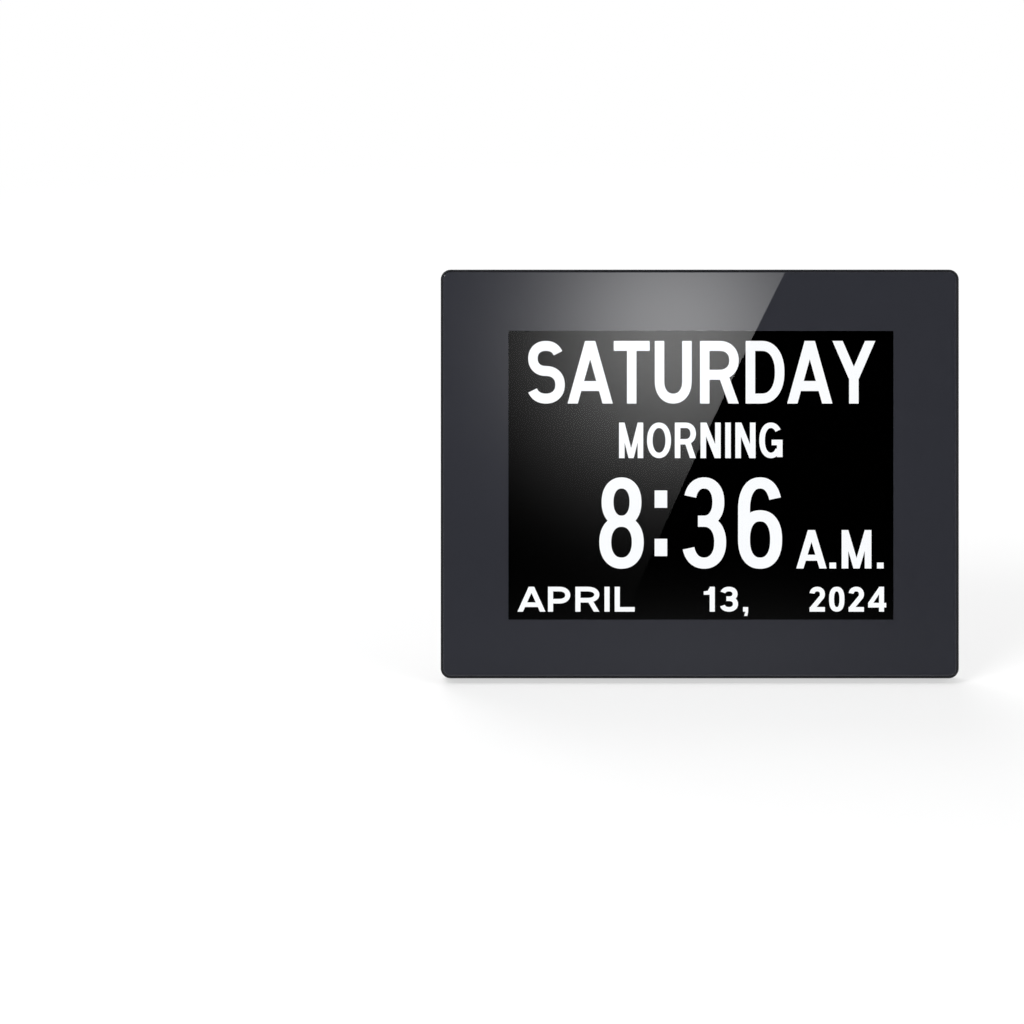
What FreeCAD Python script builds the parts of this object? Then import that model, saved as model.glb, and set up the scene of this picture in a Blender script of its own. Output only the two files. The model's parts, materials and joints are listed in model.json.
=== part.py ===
import FreeCAD
import Part
import math
import os

# Day clock: an 8 inch display case that leans back on a swivelling stand leg (millimetres).
#
# Everything is built upright in case coordinates: X to the right seen from the front,
# Y from the face of the front panel towards the back, Z up from the bottom edge.
# A position named *_y is such a depth. leaned() then tilts the whole clock back until it
# rests on the lower rear edge of the case and on the foot of its stand leg.

V = FreeCAD.Vector

# ---- modelling ----
PAST = 1.0  # a cutter runs this far past the face it opens
ROOT = 0.5  # a post, rib or tongue is sunk this far into the wall it grows from
HAIR = 0.01  # overlap where a bevel's cutter meets the edge

# ---- screw heads, as shares of the head's radius or thickness ----
HEAD_ROUND = 0.45
CROSS_ARM = 0.72
CROSS_SLOT = 0.26
CROSS_DEPTH = 0.5
SCREW_TIP_GAP = 0.3  # blind hole beyond the tip of its screw (mm)

# ---- case ----
SCREEN_W = 162.0  # visible picture of an 8 inch panel at 4:3
SCREEN_H = 121.5
BORDER_LEFT = 28.5  # black border between the picture and the edge of the case
BORDER_RIGHT = 27.5
BORDER_TOP = 25.8
BORDER_BOTTOM = 24.7
CORNER_R = 4.2
FRAME_DEPTH = 8.6  # front face to the seam between front frame and rear cover
FLANGE_DEPTH = 12.0  # front face to the flat margin round the back
BACK_DEPTH = 24.0  # front face to the raised back plane
WALL = 2.0
SLOPE_WALL = 1.6  # extra inset that keeps the sloping walls thick
EDGE_R = 1.0  # rounded rear edge of the case
FRONT_EDGE_R = 0.4
FLANGE_W = 9.3  # flat margin of the cover, from the case edge to the first crease
SHOULDER_RISE = 1.4  # gentle slope from the crease to the knee
SHOULDER_RUN = 6.7
LEDGE_DROP = 1.5  # the step along the top of the raised back
LEDGE_RUN = 1.5
LEDGE_RISER = 0.3
LEDGE_LIP = 0.7  # edge of the ledge outside the edge of the back plane
RIM_RUN_SIDE = 1.6  # how far the sides spread over the height of the ledge
RIM_RUN_SIDE_TOP = 1.3
RIM_RUN_LOW = 0.8
LEDGE_FLAT = 0.6
BACK_EDGE = 0.4  # small bevel round the back plane
KNEE_RUN_LOW = 1.3  # the gentle slope below and above is short
KNEE_RUN_TOP = 2.2
BACK_CORNERS = (4.5, 4.0, 3.0, 3.0, 2.8, 2.5)  # corner radii from the crease to the back plane
CAVITY_CORNERS = (3.0, 2.5, 2.0)
BACK_INSET_SIDE = 26.6  # raised back plane, measured in from the case edges
BACK_INSET_TOP = 16.9
BACK_INSET_BOTTOM = 13.0
LIP_H = 1.4  # tongue of the cover inside the frame wall
LIP_T = 1.0
LIP_GAP = 0.15

# ---- front panel and display module ----
PANEL_T = 2.0
PANEL_RIM = 0.8  # frame edge seen round the panel
PANEL_GAP = 0.15
PRINT_T = 0.1
TAPE_T = 0.4
TAPE_W = 7.0
TAPE_INSET = 1.0
FRAME_PLATE_T = 2.0
LCD_SIDE = 10.5  # module beyond the picture, left and right
LCD_END = 9.75  # module beyond the picture, above and below
LCD_T = 5.5
LCD_GAP = 0.4
LCD_GASKET_T = 0.6
LCD_GASKET_W = 6.0
LCD_SHEET = 0.3  # steel of the module's bezel
LCD_WINDOW = 1.6  # bezel window beyond the picture
LCD_GLASS_T = 1.2
LCD_GLASS_INSET = 3.0  # glass edge inside the module's edge
LCD_TRAY_T = 1.0
TRAY_BEAD_W = 1.6
TRAY_BEAD_EDGE = 4.2  # bead centre in from the module's long edge
TRAY_BEAD_END = 18.3
LCD_RIB_T = 1.4
LCD_RIB_H = 2.6
LED_BAR_W = 2.0

# ---- display clips ----
CLIP_POST_OFFSET = 4.0  # post centre beyond the module's edge
CLIP_POST_R = 2.2
CLIP_SPREAD = 80.0
CLIP_OVERLAP = 4.0
CLIP_W = 9.0
CLIP_T = 0.8
CLIP_HEAD_R = 1.7
CLIP_HEAD_T = 0.9
CLIP_SHANK_R = 0.95
CLIP_SCREW_L = 3.6

# ---- case screws ----
SCREW_INSET = 13.2
SCREW_HEAD_R = 1.85
SCREW_HEAD_T = 1.5
SCREW_SHANK_R = 1.1
SCREW_LENGTH = 6.6
SCREW_WELL_GAP = 0.45  # round the head
SCREW_SEAT_T = 2.0  # cover plastic under the head
SCREW_BOSS_R = 3.3
SHANK_GAP = 0.05

# ---- keypad ----
KEYPAD_X = 42.6  # centre line of the keys, to the right of the middle
NAV_ABOVE_MIDDLE = 0.3
POWER_STEP = 27.9  # power key above the ring
MENU_STEP = 26.3  # menu key below the ring
POWER_R = 7.65  # radii of the holes in the cover
NAV_R = 16.7
OK_R = 7.1
MENU_R = 5.6
KEY_GAP = 0.55
KEY_TRAVEL = 0.5
KEY_LIP = 1.0  # hidden flange beyond the hole
KEY_LIP_T = 1.1
KEY_LIP_GAP = 0.1
KEY_EDGE_R = 0.3
KEY_STEM_R = 1.4
KEY_STEM_MIN = 0.3  # shortest stem, under the centre key
NAV_LIP_GAP = 0.9  # room for the ring to tilt
NAV_LIP_T = 0.5
NAV_ARROW_R = 11.9  # arrow positions on the ring
NAV_STEM_GAP = 0.6
OK_LIP = 0.5
OK_LIP_T = 0.6
OK_LIP_GAP = 0.5
WEB_R = 8.8  # middle radius of the rocking web under the ring
WEB_W = 1.4
WEB_T = 0.65
WEB_GAP = 0.55
WEB_PAD_GAP = 0.05
WEB_PAD_R = 0.6
KEY_BOARD_W = 36.0
KEY_BOARD_MARGIN = 6.5  # board beyond the centres of the power and menu keys
BOARD_T = 1.2
TACT_W = 4.5
TACT_H = 3.4
TACT_R = 1.6
TACT_STICKOUT = 0.6
TACT_SOCKET = 1.5
TACT_SOCKET_GAP = 0.15
TACT_FLOOR_GAP = 0.1
TACT_CORNER_R = 0.3
KEY_POST_R = 2.2
KEY_POST_DX = 14.5
KEY_POST_DZ = 20.0
KEY_SCREW_BITE = 3.0

# ---- vents and speakers ----
VENT_START = 33.5  # from the middle
VENT_END = 72.5
VENT_OPEN_FROM = 48.3  # inside this the grooves are blind
VENT_COUNT = 4
VENT_PITCH = 3.53
VENT_TOP = 30.8  # top groove below the top edge of the case
VENT_H = 1.1
VENT_BLIND_H = 0.7
VENT_BLIND_DEPTH = 1.2
SPEAKER_W = 14.0
SPEAKER_H = 15.0
SPEAKER_T = 3.5
SPEAKER_CORNER_R = 2.0
SPEAKER_SHEET = 0.6
SPEAKER_ABOVE_VENT = 3.3
SPEAKER_GAP = 0.2
SPEAKER_RIB = 1.0
MAGNET_R = 4.6
MAGNET_T = 1.6
CONE_T = 0.6
CONE_DISH_FRONT_R = 4.6
CONE_DISH_BACK_R = 3.6
LEAD_R = 0.5
LEAD_SPACING = 1.5  # each side of the speaker's centre line
LEAD_FROM_EDGE = 0.8  # start above the lower edge of the speaker
LEAD_START = 1.8  # straight out of the cone
LEAD_ABOVE_BOARD = 2.4
LEAD_ON_BOARD = 2.0

# ---- keyhole hanger ----
KEYHOLE_TOP = 38.1  # centre of the round hole below the top edge
KEYHOLE_R = 4.0
KEYHOLE_SLOT_W = 3.9
KEYHOLE_SLOT_RISE = 8.6
HANGER_DEPTH = 5.5
HANGER_MARGIN = 2.0
HANGER_CORNER_R = 1.0
HOUSING_T = 1.6

# ---- rating label ----
LABEL_W = 50.0
LABEL_H = 29.0
LABEL_X = -9.9
LABEL_BELOW_MIDDLE = 1.0
LABEL_T = 0.15
LABEL_R = 2.0

# ---- ports ----
PORT_WALL_INSET = 22.4  # wall with the sockets, in from the right edge of the case
PORT_POCKET_W = 6.1
PORT_POCKET_BOTTOM = 44.6
PORT_POCKET_TOP = 43.0  # below the top edge of the case
PORT_FLOOR = 0.8  # pocket floor above the flat margin
PORT_AXIS = 3.5  # socket axis above the pocket floor
PORT_SETBACK = 0.4
PORT_GAP = 0.25
USB_ABOVE_POCKET = 30.3  # socket centre above the lower end of the pocket
USB_W = 13.15
USB_H = 5.7
USB_L = 14.0
USB_SHEET = 0.35
USB_TONGUE_W = 11.1
USB_TONGUE_T = 1.9
USB_BACK_T = 2.5
USB_TONGUE_SETBACK = 1.0
USB_TONGUE_OFFSET = 0.7
JACK_ABOVE_POCKET = 5.6
JACK_NOSE_R = 3.0
JACK_BORE_R = 1.85
JACK_BORE_L = 9.0
JACK_PIN_R = 0.65
JACK_PIN_L = 8.0
JACK_W = 7.0
JACK_L = 12.0
JACK_SHOULDER = 0.8  # body kept back from the sloping wall
RESET_R = 0.6
RESET_EDGE = 1.2  # pinhole centre from the ends of the pocket

# ---- main board ----
STANDOFF_H = 2.8
STANDOFF_R = 2.2
BOARD_W = 142.0
BOARD_EDGE_GAP = 0.3
BOARD_ABOVE_BOTTOM = 44.6
BOARD_BELOW_TOP = 41.0
BOARD_SCREW_END = 4.0
BOARD_SCREW_SHORT = 0.4  # tip short of the module's back
BOARD_CORNER_R = 1.5
KEY_BOARD_CORNER_R = 1.0
JACK_SCREW_GAP = 5.0
BOARD_HEAD_R = 1.9
BOARD_HEAD_T = 1.1
BOARD_SHANK_R = 1.1
CELL_R = 10.0
CELL_T = 3.2
CELL_HOLDER_T = 0.7
CELL_HOLDER_W = 22.5
CELL_HOLDER_CORNER_R = 2.0
CELL_GAP = 0.1
CELL_FROM_SIDE = 3.0  # holder from the board's left and top edges
CELL_FROM_TOP = 8.0
RIBBON_T = 0.3
RIBBON_GAP = 0.4
RIBBON_LAND = 6.0
LCD_RIBBON_W = 30.0
KEY_RIBBON_W = 12.0
LCD_RIBBON_FROM_SIDE = 22.0
LCD_RIBBON_TAIL = 14.0
KEY_RIBBON_LAND = 8.0
KEY_RIBBON_TAIL = 4.0
CHIPS = [  # x, z from the board's lower left corner, width, height, thickness
    (36.0, 42.0, 14.0, 14.0, 1.2),
    (36.0, 22.0, 12.0, 8.0, 1.0),
    (56.0, 46.0, 9.0, 6.0, 1.0),
    (58.0, 22.0, 6.0, 6.0, 1.8),
    (20.0, 22.0, 8.0, 5.0, 1.2),
    (14.0, 34.0, 5.0, 4.0, 1.0),
]
CHIP_CORNER_R = 0.2

# ---- stand ----
LEG_LENGTH = 95.0  # pin centre to the end of the foot
LEG_W = 16.7
LEG_T = 5.0
LEG_SIDE_GAP = 1.25
LEG_END_GAP = 3.1
LEG_SUB_FLUSH = 0.5  # stowed leg below the back plane
LEG_FLOOR_GAP = 2.5  # finger room under the stowed leg
LEG_ROOT_R = 4.5
LEG_END_R = 1.5
LEG_EDGE_R = 0.5
LEG_ROOT_GAP = 0.4  # wide part of the leg clear of the ears
TONGUE_W = 10.0
PIVOT_X = -29.5
PIVOT_Z = 31.5
RECESS_R = 4.0
RECESS_BEVEL = 1.0
HUB_POCKET_R = 11.0
HUB_GAP = 0.4
HUB_PLATE_T = 1.5
HUB_FLOAT = 0.05
HUB_SUB_FLUSH = 0.3  # raised rim below the back plane
RIM_LEG_GAP = 0.4  # raised rim clear of the leg's sides
RIM_REACH = 4.4  # how far the flanks run beyond the pin
RIM_BEVEL = 0.3
NECK_R = 4.0
NECK_GAP = 0.05
EAR_T = 2.4
EAR_GAP = 0.25
EAR_R = 2.9
STOP_T = 1.8
STOP_GAP = 0.05
STOP_RISE = 2.3  # stop beyond the pin
STOP_GROOVE = 1.2  # between the stop and the raised rim
PIN_R = 1.25
PIN_FIT = 0.02
PIN_RUN = 0.05
WAVE_T = 0.4
WASHER_T = 0.6
WASHER_R = 7.0
WAVE_R = 6.2
WAVE_GAP = 0.1
HUB_SCREW_HEAD_R = 2.7
HUB_SCREW_HEAD_T = 1.4
HUB_SCREW_R = 1.2
HUB_SCREW_L = 3.2
CHANNEL_GAP = 0.9  # each side of the leg in its lower slot
GRILLE_PITCH = 2.5
GRILLE_W = 1.1
GRILLE_MARGIN = 1.9
GRILLE_TOP_MARGIN = 2.6
GRILLE_END_MARGIN = 3.9
GRILLE_CORNER_R = 0.3
THUMB_W = 16.6
THUMB_H = 4.8
THUMB_END = 1.0  # from the end of the recess
THUMB_LIP = 0.2  # depth left at its outer edge
THUMB_FLOOR = 1.0  # inner edge above the floor of the bed
THUMB_SCOOP = 0.8
GRIP_COUNT = 9
GRIP_L = 19.6
GRIP_W = 7.0
GRIP_H = 0.35
GRIP_BAR = 0.8
GRIP_FROM_END = 13.5  # middle of the ridges to the end of the foot
GRIP_NARROWEST = 0.22  # end ridges as a share of the middle one

# ---- positions that follow from these ----
case_w = SCREEN_W + BORDER_LEFT + BORDER_RIGHT
case_h = SCREEN_H + BORDER_TOP + BORDER_BOTTOM
middle_z = case_h / 2
screen_x = (BORDER_LEFT - BORDER_RIGHT) / 2
screen_z = BORDER_BOTTOM + SCREEN_H / 2

panel_r = CORNER_R - PANEL_RIM - PANEL_GAP
print_y = PANEL_T
tape_y = print_y + PRINT_T
plate_y = tape_y + TAPE_T
plate_back_y = plate_y + FRAME_PLATE_T
flange_in_y = FLANGE_DEPTH - WALL
back_in_y = BACK_DEPTH - WALL

lcd_w = SCREEN_W + 2 * LCD_SIDE
lcd_h = SCREEN_H + 2 * LCD_END
lcd_y = tape_y + LCD_GASKET_T
glass_y = lcd_y + LCD_SHEET
glass_back_y = glass_y + LCD_GLASS_T
lcd_back_y = lcd_y + LCD_T
tray_y = lcd_back_y - LCD_TRAY_T
glass_w = lcd_w - 2 * LCD_GLASS_INSET
glass_h = lcd_h - 2 * LCD_GLASS_INSET

nav_z = middle_z + NAV_ABOVE_MIDDLE
power_z = nav_z + POWER_STEP
menu_z = nav_z - MENU_STEP
nav_lip_y = back_in_y - NAV_LIP_GAP - NAV_LIP_T
ok_lip_y = nav_lip_y - OK_LIP_GAP - OK_LIP_T
tact_tip_y = ok_lip_y - KEY_STEM_MIN
key_board_back_y = tact_tip_y - TACT_STICKOUT - TACT_H
key_board_y = key_board_back_y - BOARD_T

board_y = lcd_back_y + STANDOFF_H
board_back_y = board_y + BOARD_T
port_wall_x = case_w / 2 - PORT_WALL_INSET
port_floor_y = FLANGE_DEPTH + PORT_FLOOR
port_axis_y = port_floor_y + PORT_AXIS
port_face_x = port_wall_x - PORT_SETBACK
pocket_bottom_z = PORT_POCKET_BOTTOM
pocket_top_z = case_h - PORT_POCKET_TOP
usb_z = pocket_bottom_z + USB_ABOVE_POCKET
jack_z = pocket_bottom_z + JACK_ABOVE_POCKET
board_right_x = port_wall_x - WALL - BOARD_EDGE_GAP
board_x = board_right_x - BOARD_W / 2
board_bottom_z = BOARD_ABOVE_BOTTOM
board_top_z = case_h - BOARD_BELOW_TOP
board_z = (board_bottom_z + board_top_z) / 2
board_h = board_top_z - board_bottom_z

vent_z = case_h - VENT_TOP
speaker_z = vent_z + SPEAKER_ABOVE_VENT
speaker_x = VENT_OPEN_FROM + SPEAKER_W / 2
speaker_y = back_in_y - SPEAKER_T
keyhole_z = case_h - KEYHOLE_TOP
label_z = middle_z - LABEL_BELOW_MIDDLE

pin_y = BACK_DEPTH - LEG_SUB_FLUSH - LEG_T / 2
recess_y = pin_y - LEG_T / 2 - LEG_FLOOR_GAP
recess_in_y = recess_y - HOUSING_T
recess_h = LEG_W + 2 * LEG_SIDE_GAP
recess_end_x = PIVOT_X + LEG_LENGTH + LEG_END_GAP
leg_start = EAR_R + LEG_ROOT_GAP  # wide part of the leg beyond the pin
foot_y = pin_y + LEG_LENGTH
hub_y = recess_y + HUB_FLOAT
hub_top_y = hub_y + HUB_PLATE_T
wave_y = recess_in_y - WAVE_T
washer_y = wave_y - WASHER_T
ear_x = TONGUE_W / 2 + EAR_GAP


# ---- building blocks ----
def outline(cx, cz, width, height, radius, y):
    """Closed wire of a rectangle with round corners in the plane at depth y."""
    x0, x1 = cx - width / 2, cx + width / 2
    z0, z1 = cz - height / 2, cz + height / 2
    if radius <= 0:
        corners = [V(x0, y, z0), V(x1, y, z0), V(x1, y, z1), V(x0, y, z1)]
        return Part.makePolygon(corners + corners[:1])
    r, k = radius, radius * (1 - math.sqrt(0.5))
    spots = [
        (V(x0 + r, y, z0), V(x1 - r, y, z0), V(x1 - k, y, z0 + k), V(x1, y, z0 + r)),
        (V(x1, y, z0 + r), V(x1, y, z1 - r), V(x1 - k, y, z1 - k), V(x1 - r, y, z1)),
        (V(x1 - r, y, z1), V(x0 + r, y, z1), V(x0 + k, y, z1 - k), V(x0, y, z1 - r)),
        (V(x0, y, z1 - r), V(x0, y, z0 + r), V(x0 + k, y, z0 + k), V(x0 + r, y, z0)),
    ]
    edges = []
    for start, end, bulge, after in spots:
        edges.append(Part.LineSegment(start, end).toShape())
        edges.append(Part.Arc(end, bulge, after).toShape())
    return Part.Wire(edges)


def slab(cx, cz, width, height, y0, y1, radius=0.0):
    """Plate with round corners between two depths."""
    return Part.Face(outline(cx, cz, width, height, radius, y0)).extrude(V(0, y1 - y0, 0))


def border(cx, cz, width, height, thickness, y0, y1, radius=0.0):
    """Rectangular ring: a slab less the same slab drawn in by its thickness."""
    hole_r = max(radius - thickness, 0.0)
    hole = slab(cx, cz, width - 2 * thickness, height - 2 * thickness, y0 - PAST, y1 + PAST, hole_r)
    return slab(cx, cz, width, height, y0, y1, radius).cut(hole)


def disc(cx, cz, radius, y0, y1):
    return Part.makeCylinder(radius, y1 - y0, V(cx, y0, cz), V(0, 1, 0))


def washer(cx, cz, outer, inner, y0, y1):
    return disc(cx, cz, outer, y0, y1).cut(disc(cx, cz, inner, y0 - PAST, y1 + PAST))


def block(x0, x1, y0, y1, z0, z1):
    return Part.makeBox(x1 - x0, y1 - y0, z1 - z0, V(x0, y0, z0))


def rod_x(y, z, radius, x0, x1):
    return Part.makeCylinder(radius, x1 - x0, V(x0, y, z), V(1, 0, 0))


def screw(cx, cz, seat_y, head_r, head_t, shank_r, length):
    """Pan head screw driven from the back: head behind seat_y, shank towards the front."""
    head = disc(cx, cz, head_r, seat_y, seat_y + head_t)
    rim = [e for e in head.Edges if abs(e.BoundBox.YMin - seat_y - head_t) < 1e-6]
    head = head.makeFillet(head_t * HEAD_ROUND, rim)
    arm, half_slot = head_r * CROSS_ARM, head_r * CROSS_SLOT / 2
    top = seat_y + head_t
    floor = top - head_t * CROSS_DEPTH
    for half_x, half_z in ((arm, half_slot), (half_slot, arm)):
        head = head.cut(block(cx - half_x, cx + half_x, floor, top + PAST, cz - half_z, cz + half_z))
    return head.fuse(disc(cx, cz, shank_r, seat_y - length, seat_y)).removeSplitter()


def lead(points, radius):
    """Insulated lead along straight runs joined by tangent arcs."""
    share = 0.45  # of the shorter run, taken by the arc
    edges, here = [], points[0]
    for before, corner, after in zip(points, points[1:], points[2:]):
        run_in, run_out = corner - before, after - corner
        back, ahead = V(run_in).normalize(), V(run_out).normalize()
        turn = back.getAngle(ahead)
        cut = share * min(run_in.Length, run_out.Length)
        start, end = corner - back * cut, corner + ahead * cut
        bend_r = cut / math.tan(turn / 2)
        inward = (ahead - back).normalize()
        centre = corner + inward * (bend_r / math.cos(turn / 2))
        edges.append(Part.LineSegment(here, start).toShape())
        edges.append(Part.Arc(start, centre - inward * bend_r, end).toShape())
        here = end
    edges.append(Part.LineSegment(here, points[-1]).toShape())
    path = Part.Wire(edges)
    ring = Part.Wire(Part.makeCircle(radius, points[0], points[1] - points[0]))
    return path.makePipeShell([ring], True, False)


def both_sides(make):
    """The same piece on the right and mirrored on the left."""
    right = make()
    return [right, right.mirror(V(0, 0, 0), V(1, 0, 0))]


# ---- front ----
def front_panel():
    """Clear acrylic sheet over the whole front."""
    size_w, size_h = case_w - 2 * (PANEL_RIM + PANEL_GAP), case_h - 2 * (PANEL_RIM + PANEL_GAP)
    return slab(0, middle_z, size_w, size_h, 0, PANEL_T, panel_r)


def panel_border_print():
    """Black ink behind the panel, open over the picture."""
    sheet = front_panel().BoundBox
    ink = slab(0, middle_z, sheet.XLength, sheet.ZLength, print_y, tape_y, panel_r)
    return ink.cut(slab(screen_x, screen_z, SCREEN_W, SCREEN_H, print_y - PAST, tape_y + PAST))


def panel_tape():
    """Adhesive ring that bonds the panel to the frame."""
    edge = PANEL_RIM + PANEL_GAP + TAPE_INSET
    return border(0, middle_z, case_w - 2 * edge, case_h - 2 * edge, TAPE_W, tape_y, plate_y, CORNER_R - edge)


def frame_window():
    """Opening of the front frame round the display module."""
    return slab(screen_x, screen_z, lcd_w + 2 * LCD_GAP, lcd_h + 2 * LCD_GAP, -PAST, FRAME_DEPTH + PAST)


def clip_posts():
    """Centres of the posts that hold the display clips: (x, z, side)."""
    reach = lcd_w / 2 + CLIP_POST_OFFSET
    return [(screen_x + side * reach, screen_z + end * CLIP_SPREAD / 2, side)
            for side in (-1, 1) for end in (-1, 1)]


def case_screws_at():
    side, end = case_w / 2 - SCREW_INSET, SCREW_INSET
    return [(x, z) for x in (-side, side) for z in (end, case_h - end)]


def front_frame():
    """Moulded frame: rim and plate for the panel, rib round the display, screw bosses."""
    body = slab(0, middle_z, case_w, case_h, 0, FRAME_DEPTH, CORNER_R)
    front = [e for e in body.Edges if e.BoundBox.YMax < 1e-6]
    body = body.makeFillet(FRONT_EDGE_R, front)
    seat_r = CORNER_R - PANEL_RIM
    body = body.cut(slab(0, middle_z, case_w - 2 * PANEL_RIM, case_h - 2 * PANEL_RIM,
                         -PAST, plate_y, seat_r))
    body = body.cut(slab(0, middle_z, case_w - 2 * WALL, case_h - 2 * WALL,
                         plate_back_y, FRAME_DEPTH + PAST, CORNER_R - WALL))
    rib = slab(screen_x, screen_z, lcd_w + 2 * (LCD_GAP + LCD_RIB_T), lcd_h + 2 * (LCD_GAP + LCD_RIB_T),
               plate_back_y, plate_back_y + LCD_RIB_H)
    body = body.fuse(rib)
    for x, z in case_screws_at():
        body = body.fuse(disc(x, z, SCREW_BOSS_R, plate_back_y, FRAME_DEPTH))
    for x, z, _ in clip_posts():
        body = body.fuse(disc(x, z, CLIP_POST_R, plate_back_y, lcd_back_y))
    body = body.cut(frame_window())
    hole_floor = cover_screw_seat_y() - SCREW_LENGTH - SCREW_TIP_GAP
    for x, z in case_screws_at():
        body = body.cut(disc(x, z, SCREW_SHANK_R + SHANK_GAP, hole_floor, FRAME_DEPTH + PAST))
    clip_floor = lcd_back_y + CLIP_T - CLIP_SCREW_L - SCREW_TIP_GAP
    for x, z, _ in clip_posts():
        body = body.cut(disc(x, z, CLIP_SHANK_R + SHANK_GAP, clip_floor, lcd_back_y + PAST))
    return body.removeSplitter()


# ---- display module ----
def lcd_gasket():
    """Foam ring between the panel and the module."""
    width, height = SCREEN_W + 2 * (LCD_WINDOW + LCD_GASKET_W), SCREEN_H + 2 * (LCD_WINDOW + LCD_GASKET_W)
    return border(screen_x, screen_z, width, height, LCD_GASKET_W, tape_y, lcd_y)


def lcd_bezel():
    """Pressed steel frame with a front window and a skirt."""
    box = slab(screen_x, screen_z, lcd_w, lcd_h, lcd_y, tray_y)
    box = box.cut(slab(screen_x, screen_z, lcd_w - 2 * LCD_SHEET, lcd_h - 2 * LCD_SHEET,
                       glass_y, tray_y + PAST))
    window = slab(screen_x, screen_z, SCREEN_W + 2 * LCD_WINDOW, SCREEN_H + 2 * LCD_WINDOW,
                  lcd_y - PAST, glass_y + PAST)
    return box.cut(window)


def lcd_glass():
    return slab(screen_x, screen_z, glass_w, glass_h, glass_y, glass_back_y)


def light_guide_z():
    """Lower edge of the light guide, above the lamp bar."""
    return screen_z - glass_h / 2 + LED_BAR_W


def lcd_light_guide():
    """Acrylic guide with its diffuser sheets, lit from the lower edge."""
    top = screen_z + glass_h / 2
    return block(screen_x - glass_w / 2, screen_x + glass_w / 2, glass_back_y, tray_y, light_guide_z(), top)


def lcd_lamp_bar():
    return block(screen_x - glass_w / 2, screen_x + glass_w / 2, glass_back_y, tray_y,
                 light_guide_z() - LED_BAR_W, light_guide_z())


def lcd_rear_tray():
    """Steel back of the module with two stiffening beads."""
    tray = slab(screen_x, screen_z, lcd_w, lcd_h, tray_y, lcd_back_y)
    groove = LCD_TRAY_T / 2
    for side in (-1, 1):
        z = screen_z + side * (lcd_h / 2 - TRAY_BEAD_EDGE)
        reach = lcd_w / 2 - TRAY_BEAD_END
        tray = tray.cut(block(screen_x - reach, screen_x + reach, lcd_back_y - groove, lcd_back_y + PAST,
                              z - TRAY_BEAD_W / 2, z + TRAY_BEAD_W / 2))
    return tray


def lcd_clips():
    """Steel clips from the frame posts over the module's edge."""
    clips = []
    for x, z, side in clip_posts():
        inner = screen_x + side * (lcd_w / 2 - CLIP_OVERLAP)
        outer = x + side * CLIP_POST_R
        plate = block(min(inner, outer), max(inner, outer), lcd_back_y, lcd_back_y + CLIP_T,
                      z - CLIP_W / 2, z + CLIP_W / 2)
        hole = disc(x, z, CLIP_SHANK_R + SHANK_GAP, lcd_back_y - PAST, lcd_back_y + CLIP_T + PAST)
        clips.append(plate.cut(hole))
    return clips


def lcd_clip_screws():
    return [screw(x, z, lcd_back_y + CLIP_T, CLIP_HEAD_R, CLIP_HEAD_T, CLIP_SHANK_R, CLIP_SCREW_L)
            for x, z, _ in clip_posts()]


# ---- electronics ----
def board_screws_at():
    dx, dz = BOARD_W / 2 - JACK_L - JACK_SCREW_GAP, board_h / 2 - BOARD_SCREW_END
    return [(board_x + sx * dx, board_z + sz * dz) for sx in (-1, 1) for sz in (-1, 1)]


def main_board():
    board = slab(board_x, board_z, BOARD_W, board_h, board_y, board_back_y, BOARD_CORNER_R)
    for x, z in board_screws_at():
        board = board.cut(disc(x, z, BOARD_SHANK_R + SHANK_GAP, board_y - PAST, board_back_y + PAST))
    return board


def board_standoffs():
    """Threaded spacers between the module's back and the main board."""
    return [washer(x, z, STANDOFF_R, BOARD_SHANK_R + SHANK_GAP, lcd_back_y, board_y)
            for x, z in board_screws_at()]


def board_screws():
    length = BOARD_T + STANDOFF_H - BOARD_SCREW_SHORT
    return [screw(x, z, board_back_y, BOARD_HEAD_R, BOARD_HEAD_T, BOARD_SHANK_R, length)
            for x, z in board_screws_at()]


def board_chips():
    """Processor, memory, flash, regulator coil and audio amplifier on the main board."""
    left, low = board_x - BOARD_W / 2, board_bottom_z
    return [slab(left + x, low + z, w, h, board_back_y, board_back_y + t, CHIP_CORNER_R)
            for x, z, w, h, t in CHIPS]


def cell_spot():
    """Centre of the backup cell on the main board."""
    half = CELL_HOLDER_W / 2
    return board_x - BOARD_W / 2 + half + CELL_FROM_SIDE, board_top_z - half - CELL_FROM_TOP


def coin_cell_holder():
    x, z = cell_spot()
    floor = board_back_y + CELL_HOLDER_T
    base = slab(x, z, CELL_HOLDER_W, CELL_HOLDER_W, board_back_y, floor + CELL_T / 2, CELL_HOLDER_CORNER_R)
    return base.cut(disc(x, z, CELL_R + CELL_GAP, floor, floor + CELL_T))


def coin_cell():
    x, z = cell_spot()
    return disc(x, z, CELL_R, board_back_y + CELL_HOLDER_T, board_back_y + CELL_HOLDER_T + CELL_T)


def dc_jack():
    """Power socket: block on the board, round nose in the cover wall, blind bore."""
    back = port_face_x - JACK_L
    nose_back = port_wall_x - WALL - JACK_SHOULDER
    top = port_axis_y + JACK_NOSE_R
    body = block(back, nose_back, board_back_y, top, jack_z - JACK_W / 2, jack_z + JACK_W / 2)
    body = body.fuse(rod_x(port_axis_y, jack_z, JACK_NOSE_R, nose_back, port_face_x))
    return body.cut(rod_x(port_axis_y, jack_z, JACK_BORE_R, port_face_x - JACK_BORE_L, port_face_x + PAST))


def dc_jack_pin():
    floor = port_face_x - JACK_BORE_L
    return rod_x(port_axis_y, jack_z, JACK_PIN_R, floor, floor + JACK_PIN_L)


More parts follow.
